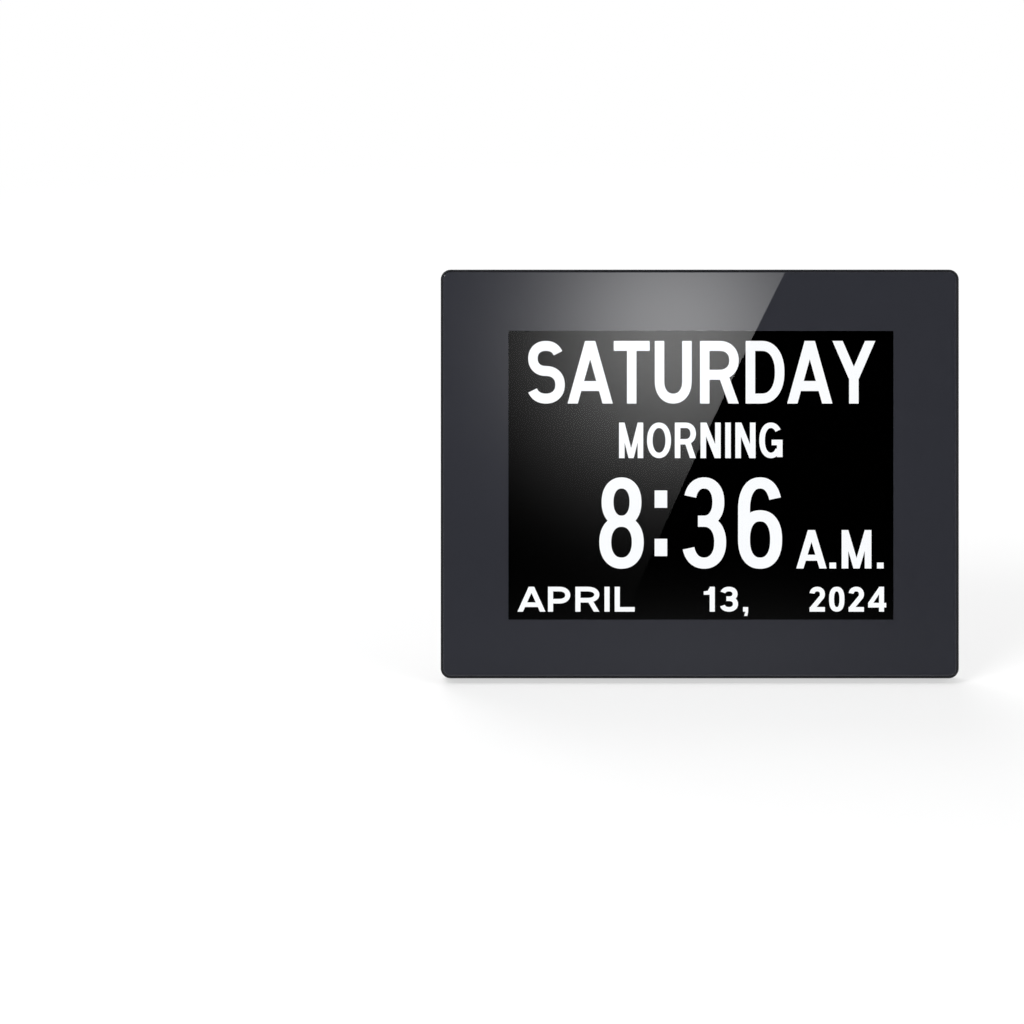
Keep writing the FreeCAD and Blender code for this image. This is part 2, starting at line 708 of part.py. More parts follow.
def usb_shell():
    """Steel sleeve of the service socket."""
    y0, y1 = port_axis_y - USB_H / 2, port_axis_y + USB_H / 2
    z0, z1 = usb_z - USB_W / 2, usb_z + USB_W / 2
    t = USB_SHEET
    tube = block(port_face_x - USB_L, port_face_x, y0, y1, z0, z1)
    return tube.cut(block(port_face_x - USB_L - PAST, port_face_x + PAST, y0 + t, y1 - t, z0 + t, z1 - t))


def usb_tongue():
    """Insulator that closes the sleeve at the back and carries the contact tongue."""
    y0, y1 = port_axis_y - USB_H / 2 + USB_SHEET, port_axis_y + USB_H / 2 - USB_SHEET
    half = USB_W / 2 - USB_SHEET
    back = port_face_x - USB_L
    plug = block(back, back + USB_BACK_T, y0, y1, usb_z - half, usb_z + half)
    top = y1 - USB_TONGUE_OFFSET
    tongue = block(back, port_face_x - USB_TONGUE_SETBACK, top - USB_TONGUE_T, top,
                   usb_z - USB_TONGUE_W / 2, usb_z + USB_TONGUE_W / 2)
    return plug.fuse(tongue).removeSplitter()


def usb_seat():
    """Plastic base that lifts the sleeve off the board."""
    low = port_axis_y - USB_H / 2
    return block(port_face_x - USB_L, board_right_x, board_back_y, low, usb_z - USB_W / 2, usb_z + USB_W / 2)


def lcd_ribbon():
    """Flat flex from the module's back round the lower edge of the main board."""
    x0 = board_x - BOARD_W / 2 + LCD_RIBBON_FROM_SIDE
    z_turn = board_bottom_z - RIBBON_GAP - RIBBON_T
    y0, y1 = lcd_back_y, board_back_y
    t = RIBBON_T
    flat = block(x0, x0 + LCD_RIBBON_W, y0, y0 + t, z_turn - LCD_RIBBON_TAIL, z_turn + t)
    rise = block(x0, x0 + LCD_RIBBON_W, y0, y1 + t, z_turn, z_turn + t)
    land = block(x0, x0 + LCD_RIBBON_W, y1, y1 + t, z_turn, board_bottom_z + RIBBON_LAND)
    return flat.fuse(rise).fuse(land).removeSplitter()


def key_centres():
    """Switch positions: power, ok, menu and the four arrows of the ring."""
    around = [(KEYPAD_X + NAV_ARROW_R * dx, nav_z + NAV_ARROW_R * dz)
              for dx, dz in ((0, 1), (1, 0), (0, -1), (-1, 0))]
    return [(KEYPAD_X, power_z), (KEYPAD_X, nav_z), (KEYPAD_X, menu_z)] + around


def key_posts_at():
    return [(KEYPAD_X + sx * KEY_POST_DX, nav_z + sz * KEY_POST_DZ) for sx in (-1, 1) for sz in (-1, 1)]


def key_board_span():
    return menu_z - KEY_BOARD_MARGIN, power_z + KEY_BOARD_MARGIN


def key_board():
    low, high = key_board_span()
    board = slab(KEYPAD_X, (low + high) / 2, KEY_BOARD_W, high - low, key_board_y, key_board_back_y,
                 KEY_BOARD_CORNER_R)
    for x, z in key_posts_at():
        board = board.cut(disc(x, z, CLIP_SHANK_R + SHANK_GAP, key_board_y - PAST, key_board_back_y + PAST))
    return board


def key_board_screws():
    """Screws driven from the front into the posts of the cover."""
    length = BOARD_T + KEY_SCREW_BITE
    made = []
    for x, z in key_posts_at():
        piece = screw(0, 0, 0, CLIP_HEAD_R, CLIP_HEAD_T, CLIP_SHANK_R, length)
        piece.rotate(V(0, 0, 0), V(0, 0, 1), 180)
        piece.translate(V(x, key_board_y, z))
        made.append(piece)
    return made


def tact_switches():
    """Seven switch bodies, each with the socket its plunger sinks into."""
    top = key_board_back_y + TACT_H
    made = []
    for x, z in key_centres():
        body = slab(x, z, TACT_W, TACT_W, key_board_back_y, top, TACT_CORNER_R)
        made.append(body.cut(disc(x, z, TACT_R + TACT_SOCKET_GAP, top - TACT_SOCKET, top + PAST)))
    return made


def plunger(x, z):
    """Switch plunger: out of its socket by its stick-out, and clear of the floor at full travel."""
    top = key_board_back_y + TACT_H
    return disc(x, z, TACT_R, top - TACT_SOCKET + KEY_TRAVEL + TACT_FLOOR_GAP, tact_tip_y)


def nav_plungers():
    return [plunger(x, z) for x, z in key_centres()[3:]]


def key_ribbon():
    """Flat flex from the front of the key board down to the main board."""
    left = KEYPAD_X - KEY_BOARD_W / 2
    z0 = nav_z - KEY_RIBBON_W / 2
    z1 = nav_z + KEY_RIBBON_W / 2
    t = RIBBON_T
    land = block(left - KEY_RIBBON_LAND, left, board_back_y, board_back_y + t, z0, z1)
    rise = block(left - t, left, board_back_y, key_board_y, z0, z1)
    tail = block(left - t, left + KEY_RIBBON_TAIL, key_board_y - t, key_board_y, z0, z1)
    return land.fuse(rise).fuse(tail).removeSplitter()


# ---- speakers ----
def speaker_frames():
    """Steel cups of the two speakers, against the inside of the back."""
    def one():
        cup = slab(speaker_x, speaker_z, SPEAKER_W, SPEAKER_H, speaker_y, back_in_y, SPEAKER_CORNER_R)
        t = SPEAKER_SHEET
        return cup.cut(slab(speaker_x, speaker_z, SPEAKER_W - 2 * t, SPEAKER_H - 2 * t,
                            speaker_y - PAST, back_in_y - t, SPEAKER_CORNER_R - t))
    return both_sides(one)


def speaker_magnets():
    seat = back_in_y - SPEAKER_SHEET
    return both_sides(lambda: disc(speaker_x, speaker_z, MAGNET_R, seat - MAGNET_T, seat))


def speaker_cones():
    """Shallow paper cones that close the cups towards the front."""
    def one():
        front_y = speaker_y - CONE_T
        edge = slab(speaker_x, speaker_z, SPEAKER_W, SPEAKER_H, front_y, speaker_y, SPEAKER_CORNER_R)
        dish = Part.makeCone(CONE_DISH_FRONT_R, CONE_DISH_BACK_R, CONE_T / 2,
                             V(speaker_x, front_y, speaker_z), V(0, 1, 0))
        return edge.cut(dish)
    return both_sides(one)


def speaker_leads():
    """Two leads from each speaker down to the top edge of the main board."""
    top = speaker_z - SPEAKER_H / 2 + LEAD_FROM_EDGE
    y_out = speaker_y - CONE_T
    y_in = board_back_y + LEAD_R

    def one(shift):
        x = speaker_x + shift
        points = [V(x, y_out, top), V(x, y_out - LEAD_START, top),
                  V(x, y_in, board_top_z + LEAD_ABOVE_BOARD), V(x, y_in, board_top_z - LEAD_ON_BOARD)]
        return lead(points, LEAD_R)
    shifts = (-LEAD_SPACING, LEAD_SPACING)
    return [lead_solid for shift in shifts for lead_solid in both_sides(lambda: one(shift))]


# ---- rear cover ----
def section(side, bottom, top, depth, radius):
    """Outline of the raised back at one depth, from its insets."""
    width = case_w - 2 * side
    height = case_h - bottom - top
    return outline(0, bottom + height / 2, width, height, radius, depth)


def back_sections():
    """Insets and depths of the raised back: (side, bottom, top, depth, corner radius)."""
    flange, rim = FLANGE_W, BACK_EDGE
    side, low, high = BACK_INSET_SIDE, BACK_INSET_BOTTOM, BACK_INSET_TOP
    ledge_y = BACK_DEPTH - LEDGE_DROP
    rows = [
        (flange, flange, flange, FLANGE_DEPTH),
        (flange + SHOULDER_RUN, flange + KNEE_RUN_LOW, flange + KNEE_RUN_TOP, FLANGE_DEPTH + SHOULDER_RISE),
        (side - RIM_RUN_SIDE, low - RIM_RUN_LOW, high - LEDGE_RUN - LEDGE_FLAT, ledge_y),
        (side - RIM_RUN_SIDE_TOP, low - LEDGE_LIP, high - LEDGE_LIP, ledge_y + LEDGE_RISER),
        (side - rim, low - rim, high - rim, BACK_DEPTH - rim),
        (side, low, high, BACK_DEPTH),
    ]
    return [row + (radius,) for row, radius in zip(rows, BACK_CORNERS)]


def raised_back():
    """Outer form of the raised back, sunk a little into the flat margin."""
    rows = back_sections()
    side, low, high, depth, r = rows[0]
    wires = [section(side, low, high, depth - WALL / 2, r)] + [section(*row) for row in rows]
    return Part.makeLoft(wires, True, True)


def cavity():
    """Hollow inside the raised back, open towards the front."""
    base, knee, _, _, _, top = back_sections()
    w = SLOPE_WALL
    base_r, knee_r, top_r = CAVITY_CORNERS
    rows = [
        (base[0] + w, base[1] + w, base[2] + w, flange_in_y - ROOT, base_r),
        (base[0] + w, base[1] + w, base[2] + w, flange_in_y, base_r),
        (knee[0] + w, knee[1] + w, knee[2] + w, knee[3] - WALL, knee_r),
        (top[0] + w / 2, top[1] + w, top[2] + w, back_in_y, top_r),
    ]
    return Part.makeLoft([section(*row) for row in rows], True, True)


def cover_screw_seat_y():
    """Plane under the heads of the case screws."""
    return FRAME_DEPTH + SCREW_SEAT_T


def cover_blank():
    """Flat margin with its rounded edge, and the raised back on it."""
    plate = slab(0, middle_z, case_w, case_h, FRAME_DEPTH, FLANGE_DEPTH, CORNER_R)
    rear = [e for e in plate.Edges if e.BoundBox.YMin > FLANGE_DEPTH - 1e-6]
    return plate.makeFillet(EDGE_R, rear).fuse(raised_back())


def stand_recess(grow=0.0):
    """Prism of the stowed leg's bed; grow gives the housing round it."""
    floor, top = recess_y - grow, BACK_DEPTH + PAST
    bed = slab((PIVOT_X + recess_end_x) / 2, PIVOT_Z, recess_end_x - PIVOT_X + 2 * grow, recess_h + 2 * grow,
               floor, top, RECESS_R + grow)
    round_part = disc(PIVOT_X, PIVOT_Z, HUB_POCKET_R + grow, floor, top)
    half = LEG_W / 2 + CHANNEL_GAP + grow
    slot = block(PIVOT_X - half, PIVOT_X + half, floor, top, 0, PIVOT_Z)
    return bed.fuse(round_part).fuse(slot)


def recess_bevel():
    """Bevel along the lower lip of the bed."""
    low = PIVOT_Z - recess_h / 2
    x0, x1 = PIVOT_X + HUB_POCKET_R, recess_end_x - THUMB_END - THUMB_W
    b = RECESS_BEVEL
    inner = V(x0, BACK_DEPTH - b, low + HAIR)
    outer = V(x0, BACK_DEPTH + HAIR, low - b)
    profile = Part.makePolygon([inner, outer, V(x0, BACK_DEPTH + HAIR, low + HAIR), inner])
    return Part.Face(profile).extrude(V(x1 - x0, 0, 0))


def thumb_notch():
    """Scooped ramp below the tip of the stowed leg."""
    low = PIVOT_Z - recess_h / 2
    x1 = recess_end_x - THUMB_END
    x0 = x1 - THUMB_W
    top_y = BACK_DEPTH + PAST
    start = V(x0, BACK_DEPTH - THUMB_LIP, low - THUMB_H)
    end = V(x0, recess_y + THUMB_FLOOR, low + ROOT)
    middle = (start + end) * 0.5 + V(0, -THUMB_SCOOP, -THUMB_SCOOP)
    over_end, over_start = V(x0, top_y, low + ROOT), V(x0, top_y, low - THUMB_H)
    edges = [
        Part.Arc(start, middle, end).toShape(),
        Part.LineSegment(end, over_end).toShape(),
        Part.LineSegment(over_end, over_start).toShape(),
        Part.LineSegment(over_start, start).toShape(),
    ]
    return Part.Face(Part.Wire(edges)).extrude(V(x1 - x0, 0, 0))


def thumb_housing():
    """Material behind the thumb notch."""
    low = PIVOT_Z - recess_h / 2
    x1 = recess_end_x - THUMB_END
    t = HOUSING_T
    return block(x1 - THUMB_W - t, x1 + t, recess_in_y, BACK_DEPTH, low - THUMB_H - t, low)


def grille_slots():
    """Upright ventilation slots through the floor of the bed."""
    z0 = PIVOT_Z - recess_h / 2 + GRILLE_MARGIN
    z1 = PIVOT_Z + recess_h / 2 - GRILLE_TOP_MARGIN
    first = recess_end_x - GRILLE_END_MARGIN
    count = int((first - PIVOT_X - HUB_POCKET_R) / GRILLE_PITCH) + 1
    return [slab(first - i * GRILLE_PITCH, (z0 + z1) / 2, GRILLE_W, z1 - z0,
                 recess_in_y - PAST, recess_y + PAST, GRILLE_CORNER_R) for i in range(count)]


def port_pocket():
    """Strip cut into the side slope in front of the sockets."""
    return block(port_wall_x, port_wall_x + PORT_POCKET_W, port_floor_y, BACK_DEPTH + PAST,
                 pocket_bottom_z, pocket_top_z)


def port_housing():
    t = HOUSING_T
    return block(port_wall_x - WALL, port_wall_x + PORT_POCKET_W + t, port_floor_y - t, BACK_DEPTH,
                 pocket_bottom_z - t, pocket_top_z + t)


def port_holes():
    """Openings of both sockets and the reset pinhole."""
    x0, x1 = port_wall_x - WALL - ROOT, port_wall_x + ROOT
    g = PORT_GAP
    usb = block(x0, x1, port_axis_y - USB_H / 2 - g, port_axis_y + USB_H / 2 + g,
                usb_z - USB_W / 2 - g, usb_z + USB_W / 2 + g)
    jack = rod_x(port_axis_y, jack_z, JACK_NOSE_R + g, x0, x1)
    reset = disc(port_wall_x + RESET_EDGE, pocket_top_z - RESET_EDGE, RESET_R,
                 port_floor_y - HOUSING_T - PAST, port_floor_y + PAST)
    return [usb, jack, reset]


def keyhole_cuts():
    """Round hole, slot above it and the closed pocket behind them."""
    slot_top = keyhole_z + KEYHOLE_SLOT_RISE
    r = KEYHOLE_SLOT_W / 2
    y0, y1 = back_in_y - PAST, BACK_DEPTH + PAST
    slot = block(-r, r, y0, y1, keyhole_z, slot_top - r)
    return [disc(0, keyhole_z, KEYHOLE_R, y0, y1), slot, disc(0, slot_top - r, r, y0, y1), hanger_pocket(0.0)]


def hanger_pocket(grow):
    """Closed pocket for the head of the wall screw; grow gives the housing round it."""
    m = HANGER_MARGIN
    low, high = keyhole_z - KEYHOLE_R - m, keyhole_z + KEYHOLE_SLOT_RISE + m
    width = 2 * (KEYHOLE_R + m)
    return slab(0, (low + high) / 2, width + 2 * grow, high - low + 2 * grow,
                back_in_y - HANGER_DEPTH - grow, back_in_y, HANGER_CORNER_R + grow)


def vent_grooves():
    """Four grooves a side: open over the speakers, blind towards the middle."""
    cuts = []
    for i in range(VENT_COUNT):
        z = vent_z - i * VENT_PITCH
        for side in (-1, 1):
            far, near = side * VENT_END, side * VENT_OPEN_FROM
            cuts.append(block(min(far, near), max(far, near), back_in_y - PAST, BACK_DEPTH + PAST,
                              z - VENT_H / 2, z + VENT_H / 2))
            near, end = side * VENT_OPEN_FROM, side * VENT_START
            low = z - VENT_H / 2
            cuts.append(block(min(end, near), max(end, near), BACK_DEPTH - VENT_BLIND_DEPTH,
                              BACK_DEPTH + PAST, low, low + VENT_BLIND_H))
    return cuts


def speaker_ribs():
    """Walls on the inside of the back that locate the speakers."""
    def one():
        width, height = SPEAKER_W + 2 * SPEAKER_GAP, SPEAKER_H + 2 * SPEAKER_GAP
        grow, corner = SPEAKER_RIB, SPEAKER_CORNER_R + SPEAKER_GAP
        rib = slab(speaker_x, speaker_z, width + 2 * grow, height + 2 * grow,
                   speaker_y, back_in_y, corner + grow)
        return rib.cut(slab(speaker_x, speaker_z, width, height, speaker_y - PAST, back_in_y + PAST, corner))
    return both_sides(one)


def rear_cover():
    """Moulded back of the case with everything that is shaped into it."""
    blank = cover_blank()
    inset = WALL + LIP_GAP + LIP_T
    shell = blank.cut(slab(0, middle_z, case_w - 2 * inset, case_h - 2 * inset,
                           FRAME_DEPTH - PAST, flange_in_y, CORNER_R - inset))
    shell = shell.cut(cavity())
    reach = WALL + LIP_GAP
    shell = shell.fuse(border(0, middle_z, case_w - 2 * reach, case_h - 2 * reach, LIP_T,
                              FRAME_DEPTH - LIP_H, FRAME_DEPTH + ROOT, CORNER_R - reach))
    inside = [stand_recess(HOUSING_T), thumb_housing(), port_housing()]
    inside += [disc(x, z, SCREW_BOSS_R, FRAME_DEPTH, BACK_DEPTH) for x, z in case_screws_at()]
    for piece in inside:
        shell = shell.fuse(piece.common(blank))
    shell = shell.fuse(hanger_pocket(HOUSING_T))
    for rib in speaker_ribs():
        shell = shell.fuse(rib)
    for x, z in key_posts_at():
        shell = shell.fuse(disc(x, z, KEY_POST_R, key_board_back_y, back_in_y + ROOT))

    cuts = [stand_recess(), recess_bevel(), thumb_notch(), port_pocket()]
    cuts += grille_slots() + port_holes() + keyhole_cuts() + vent_grooves()
    cuts.append(disc(PIVOT_X, PIVOT_Z, NECK_R + NECK_GAP, recess_in_y - PAST, recess_y + PAST))
    for z, r in ((power_z, POWER_R), (nav_z, NAV_R), (menu_z, MENU_R)):
        cuts.append(disc(KEYPAD_X, z, r, back_in_y - PAST, BACK_DEPTH + PAST))
    bite_end = key_board_back_y + KEY_SCREW_BITE + SCREW_TIP_GAP
    for x, z in key_posts_at():
        cuts.append(disc(x, z, CLIP_SHANK_R + SHANK_GAP, key_board_back_y - PAST, bite_end))
    seat = cover_screw_seat_y()
    for x, z in case_screws_at():
        cuts.append(disc(x, z, SCREW_HEAD_R + SCREW_WELL_GAP, seat, BACK_DEPTH + PAST))
        cuts.append(disc(x, z, SCREW_SHANK_R + SHANK_GAP, FRAME_DEPTH - PAST, seat + PAST))
    for cut in cuts:
        shell = shell.cut(cut)
    return shell.removeSplitter()


def case_screws():
    return [screw(x, z, cover_screw_seat_y(), SCREW_HEAD_R, SCREW_HEAD_T, SCREW_SHANK_R, SCREW_LENGTH)
            for x, z in case_screws_at()]


def rating_label():
    return slab(LABEL_X, label_z, LABEL_W, LABEL_H, BACK_DEPTH, BACK_DEPTH + LABEL_T, LABEL_R)


# ---- keys ----
def round_key(z, hole_r):
    """Flush cap with a hidden flange and a stem that ends on its switch."""
    cap_r = hole_r - KEY_GAP
    lip_top = back_in_y - KEY_LIP_GAP
    lip_y = lip_top - KEY_LIP_T
    cap = disc(KEYPAD_X, z, cap_r, lip_y, BACK_DEPTH)
    rim = [e for e in cap.Edges if e.BoundBox.YMin > BACK_DEPTH - 1e-6]
    cap = cap.makeFillet(KEY_EDGE_R, rim)
    cap = cap.fuse(disc(KEYPAD_X, z, hole_r + KEY_LIP, lip_y, lip_top))
    return cap.fuse(disc(KEYPAD_X, z, KEY_STEM_R, tact_tip_y, lip_y)).removeSplitter()


def ok_button():
    """Centre key inside the ring, held by a flange behind it."""
    cap_r = OK_R - KEY_GAP
    cap = disc(KEYPAD_X, nav_z, cap_r, ok_lip_y, BACK_DEPTH)
    rim = [e for e in cap.Edges if e.BoundBox.YMin > BACK_DEPTH - 1e-6]
    cap = cap.makeFillet(KEY_EDGE_R, rim)
    cap = cap.fuse(disc(KEYPAD_X, nav_z, OK_R + OK_LIP, ok_lip_y, ok_lip_y + OK_LIP_T))
    return cap.fuse(disc(KEYPAD_X, nav_z, KEY_STEM_R, tact_tip_y, ok_lip_y)).removeSplitter()


def nav_ring():
    """Rocking ring with a thin flange and a stem over each arrow switch."""
    outer = NAV_R - KEY_GAP
    ring = disc(KEYPAD_X, nav_z, outer, nav_lip_y, BACK_DEPTH)
    rim = [e for e in ring.Edges if e.BoundBox.YMin > BACK_DEPTH - 1e-6]
    ring = ring.makeFillet(KEY_EDGE_R, rim)
    ring = ring.fuse(disc(KEYPAD_X, nav_z, NAV_R + KEY_LIP, nav_lip_y, nav_lip_y + NAV_LIP_T))
    ring = ring.cut(disc(KEYPAD_X, nav_z, OK_R, nav_lip_y - PAST, BACK_DEPTH + PAST))
    for x, z in key_centres()[3:]:
        ring = ring.fuse(disc(x, z, KEY_STEM_R, tact_tip_y + NAV_STEM_GAP, nav_lip_y))
    return ring.removeSplitter()


def nav_web():
    """Spring web under the ring: two pads carry the ring above and below its centre."""
    top = nav_lip_y - WEB_GAP
    web = washer(KEYPAD_X, nav_z, WEB_R + WEB_W / 2, WEB_R - WEB_W / 2, top - WEB_T, top)
    for side in (-1, 1):
        web = web.fuse(disc(KEYPAD_X, nav_z + side * WEB_R, WEB_PAD_R, top - WEB_T, nav_lip_y - WEB_PAD_GAP))
    return web.removeSplitter()


def nav_pivots():
    """Posts on the key board that carry the web left and right of its centre."""
    top = nav_lip_y - WEB_GAP - WEB_T - WEB_PAD_GAP
    return [disc(KEYPAD_X + side * WEB_R, nav_z, WEB_PAD_R, key_board_back_y, top) for side in (-1, 1)]


# ---- stand ----
def hub_rim():
    """Raised rim of the turntable, level with the back: a segment above the stop and two flanks."""
    r, top_y = HUB_POCKET_R - HUB_GAP, BACK_DEPTH - HUB_SUB_FLUSH
    rim = disc(PIVOT_X, PIVOT_Z, r, hub_top_y - ROOT, top_y - RIM_BEVEL)
    rim = rim.fuse(Part.makeCone(r, r - RIM_BEVEL, RIM_BEVEL, V(PIVOT_X, top_y - RIM_BEVEL, PIVOT_Z), V(0, 1, 0)))
    half = LEG_W / 2 + RIM_LEG_GAP
    segment_z = PIVOT_Z + LEG_T / 2 + STOP_GAP + STOP_T + STOP_GROOVE
    low = PIVOT_Z - r - PAST
    rim = rim.cut(block(PIVOT_X - half, PIVOT_X + half, hub_top_y - PAST, BACK_DEPTH, low, segment_z))
    return rim.cut(block(PIVOT_X - r - PAST, PIVOT_X + r + PAST, hub_top_y - PAST, BACK_DEPTH,
                         low, PIVOT_Z - RIM_REACH))


def stand_hub():
    """Turntable in the back: plate, rim, neck, two ears for the pin and the stop behind the leg."""
    hub = disc(PIVOT_X, PIVOT_Z, HUB_POCKET_R - HUB_GAP, hub_y, hub_top_y)
    hub = hub.fuse(disc(PIVOT_X, PIVOT_Z, NECK_R, wave_y, hub_y)).fuse(hub_rim())
    for side in (-1, 1):
        x0 = PIVOT_X + min(side * ear_x, side * (ear_x + EAR_T))
        hub = hub.fuse(block(x0, x0 + EAR_T, hub_top_y, pin_y, PIVOT_Z - EAR_R, PIVOT_Z + EAR_R))
        hub = hub.fuse(rod_x(pin_y, PIVOT_Z, EAR_R, x0, x0 + EAR_T))
    stop_z = PIVOT_Z + LEG_T / 2 + STOP_GAP
    half = ear_x + EAR_T
    hub = hub.fuse(block(PIVOT_X - half, PIVOT_X + half, hub_top_y, pin_y + STOP_RISE,
                         stop_z, stop_z + STOP_T))
    hub = hub.cut(rod_x(pin_y, PIVOT_Z, PIN_R + PIN_FIT, PIVOT_X - half - PAST, PIVOT_X + half + PAST))
    bore_top = washer_y + HUB_SCREW_L + SCREW_TIP_GAP
    return hub.cut(disc(PIVOT_X, PIVOT_Z, HUB_SCREW_R + SHANK_GAP, wave_y - PAST, bore_top)).removeSplitter()


def stand_pin():
    half = ear_x + EAR_T
    return rod_x(pin_y, PIVOT_Z, PIN_R, PIVOT_X - half, PIVOT_X + half)


def hub_wave_washer():
    return washer(PIVOT_X, PIVOT_Z, WAVE_R, NECK_R + WAVE_GAP, wave_y, recess_in_y)


def hub_washer():
    return washer(PIVOT_X, PIVOT_Z, WASHER_R, HUB_SCREW_R + SHANK_GAP, washer_y, wave_y)


def hub_screw():
    """Screw driven from inside the case into the neck of the hub."""
    piece = screw(0, 0, 0, HUB_SCREW_HEAD_R, HUB_SCREW_HEAD_T, HUB_SCREW_R, HUB_SCREW_L)
    piece.rotate(V(0, 0, 0), V(0, 0, 1), 180)
    piece.translate(V(PIVOT_X, washer_y, PIVOT_Z))
    return piece


def stand_leg():
    """Leg drawn out of the back: round tongue on the pin, wide blade, ridges near the foot."""
    z0, z1 = PIVOT_Z - LEG_T / 2, PIVOT_Z + LEG_T / 2
    y0 = pin_y + leg_start
    half = LEG_W / 2
    blade = block(PIVOT_X - half, PIVOT_X + half, y0, foot_y, z0, z1)

    def upright(end_y):
        return [e for e in blade.Edges
                if e.BoundBox.ZLength > LEG_T - 1e-6 and abs(e.BoundBox.YMin - end_y) < 1e-6]

    blade = blade.makeFillet(LEG_ROOT_R, upright(y0))
    blade = blade.makeFillet(LEG_END_R, upright(foot_y))
    flat = [e for e in blade.Edges if e.BoundBox.ZLength < 1e-6 and e.BoundBox.ZMin > z1 - 1e-6]
    flat += [e for e in blade.Edges if e.BoundBox.ZLength < 1e-6 and e.BoundBox.ZMax < z0 + 1e-6]
    blade = blade.makeFillet(LEG_EDGE_R, flat)
    root = rod_x(pin_y, PIVOT_Z, LEG_T / 2, PIVOT_X - TONGUE_W / 2, PIVOT_X + TONGUE_W / 2)
    neck = block(PIVOT_X - TONGUE_W / 2, PIVOT_X + TONGUE_W / 2, pin_y, y0 + LEG_ROOT_R, z0, z1)
    leg = blade.fuse(root).fuse(neck)
    for i in range(GRIP_COUNT):
        along = (i - (GRIP_COUNT - 1) / 2) * GRIP_L / GRIP_COUNT
        bar_w = GRIP_W * max(math.sqrt(1 - (2 * along / GRIP_L) ** 2), GRIP_NARROWEST)
        y = foot_y - GRIP_FROM_END + along
        leg = leg.fuse(block(PIVOT_X - bar_w / 2, PIVOT_X + bar_w / 2, y - GRIP_BAR / 2, y + GRIP_BAR / 2,
                             z1 - ROOT, z1 + GRIP_H))
    hole = rod_x(pin_y, PIVOT_Z, PIN_R + PIN_RUN, PIVOT_X - TONGUE_W, PIVOT_X + TONGUE_W)
    return leg.cut(hole).removeSplitter()


# ---- the clock leaning on its stand ----
def lean_angle():
    """Angle at which the rounded case edge and the rounded foot edge stand on one plane."""
    run = (foot_y - LEG_EDGE_R) - (FLANGE_DEPTH - EDGE_R)
    rise = (PIVOT_Z - LEG_T / 2 + LEG_EDGE_R) - EDGE_R
    return math.atan2(rise, run) + math.asin((EDGE_R - LEG_EDGE_R) / math.hypot(run, rise))


def leaned(shape):
    """The shape turned back about the front lower edge of the case."""
    turned = shape.copy()
    turned.rotate(V(0, 0, 0), V(1, 0, 0), -math.degrees(lean_angle()))
    return turned


def ground_shift(shapes):
    """Move that puts the middle of the footprint box on the origin."""
    box = Part.makeCompound([leaned(s) for s in shapes]).optimalBoundingBox(False, False)
    return V(-(box.XMin + box.XMax) / 2, -(box.YMin + box.YMax) / 2, -box.ZMin)


def nodes():
    """Every piece of the clock: node name and its solid or list of like solids."""
    return {
        "front_panel": front_panel(),
        "panel_border_print": panel_border_print(),
        "panel_tape": panel_tape(),
        "front_frame": front_frame(),
        "lcd_gasket": lcd_gasket(),
        "lcd_bezel": lcd_bezel(),
        "lcd_glass": lcd_glass(),
        "lcd_light_guide": lcd_light_guide(),
        "lcd_lamp_bar": lcd_lamp_bar(),
        "lcd_rear_tray": lcd_rear_tray(),
        "lcd_clips": lcd_clips(),
        "lcd_clip_screws": lcd_clip_screws(),
        "lcd_ribbon": lcd_ribbon(),
        "board_standoffs": board_standoffs(),
        "main_board": main_board(),
        "board_chips": board_chips(),
        "board_screws": board_screws(),
        "coin_cell_holder": coin_cell_holder(),
        "coin_cell": coin_cell(),
        "dc_jack": dc_jack(),
        "dc_jack_pin": dc_jack_pin(),
        "usb_seat": usb_seat(),
        "usb_shell": usb_shell(),
        "usb_tongue": usb_tongue(),
        "key_board": key_board(),
        "key_board_screws": key_board_screws(),
        "key_ribbon": key_ribbon(),
        "tact_switches": tact_switches(),
        "nav_plungers": nav_plungers(),
        "nav_pivots": nav_pivots(),
        "nav_web": nav_web(),
        "nav_ring": nav_ring(),
        "ok_button": ok_button(),
        "ok_plunger": plunger(KEYPAD_X, nav_z),
        "power_button": round_key(power_z, POWER_R),
        "power_plunger": plunger(KEYPAD_X, power_z),
        "menu_button": round_key(menu_z, MENU_R),
        "menu_plunger": plunger(KEYPAD_X, menu_z),
        "speaker_frames": speaker_frames(),
        "speaker_magnets": speaker_magnets(),
        "speaker_cones": speaker_cones(),
        "speaker_leads": speaker_leads(),
        "rear_cover": rear_cover(),
        "case_screws": case_screws(),
        "rating_label": rating_label(),
        "stand_hub": stand_hub(),
        "hub_wave_washer": hub_wave_washer(),
        "hub_washer": hub_washer(),
        "hub_screw": hub_screw(),
        "stand_pin": stand_pin(),
        "stand_leg": stand_leg(),
    }


def main():
    os.makedirs("parts", exist_ok=True)
    pieces = nodes()
    shift = ground_shift([pieces["rear_cover"], pieces["front_frame"], pieces["stand_leg"]])
    for name, made in pieces.items():
        group = made if isinstance(made, list) else [made]
        solids = [solid for shape in group for solid in shape.Solids]
        for solid in solids:
            if not solid.isValid() or solid.Volume <= 0:
                raise ValueError("bad solid in " + name)
        whole = solids[0] if len(solids) == 1 else Part.makeCompound(solids)
        placed = leaned(whole)
        placed.translate(shift)
        placed.exportStep("parts/" + name + ".step")
        print("%-20s %2d solid(s) %12.3f mm3" % (name, len(solids), whole.Volume))
    print("lean %.3f deg, shift %.3f %.3f" % (math.degrees(lean_angle()), shift.y, shift.z))


main()
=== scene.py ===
"""Day clock with a folding stand: printed panel, lit display, legends, finishes and a plain studio.

Sizes in millimetres are in the case's own axes: x to the right seen from the front, y from the
front face to the back, z up the case. The frame gives where those axes lie in the row frame.
"""

import json

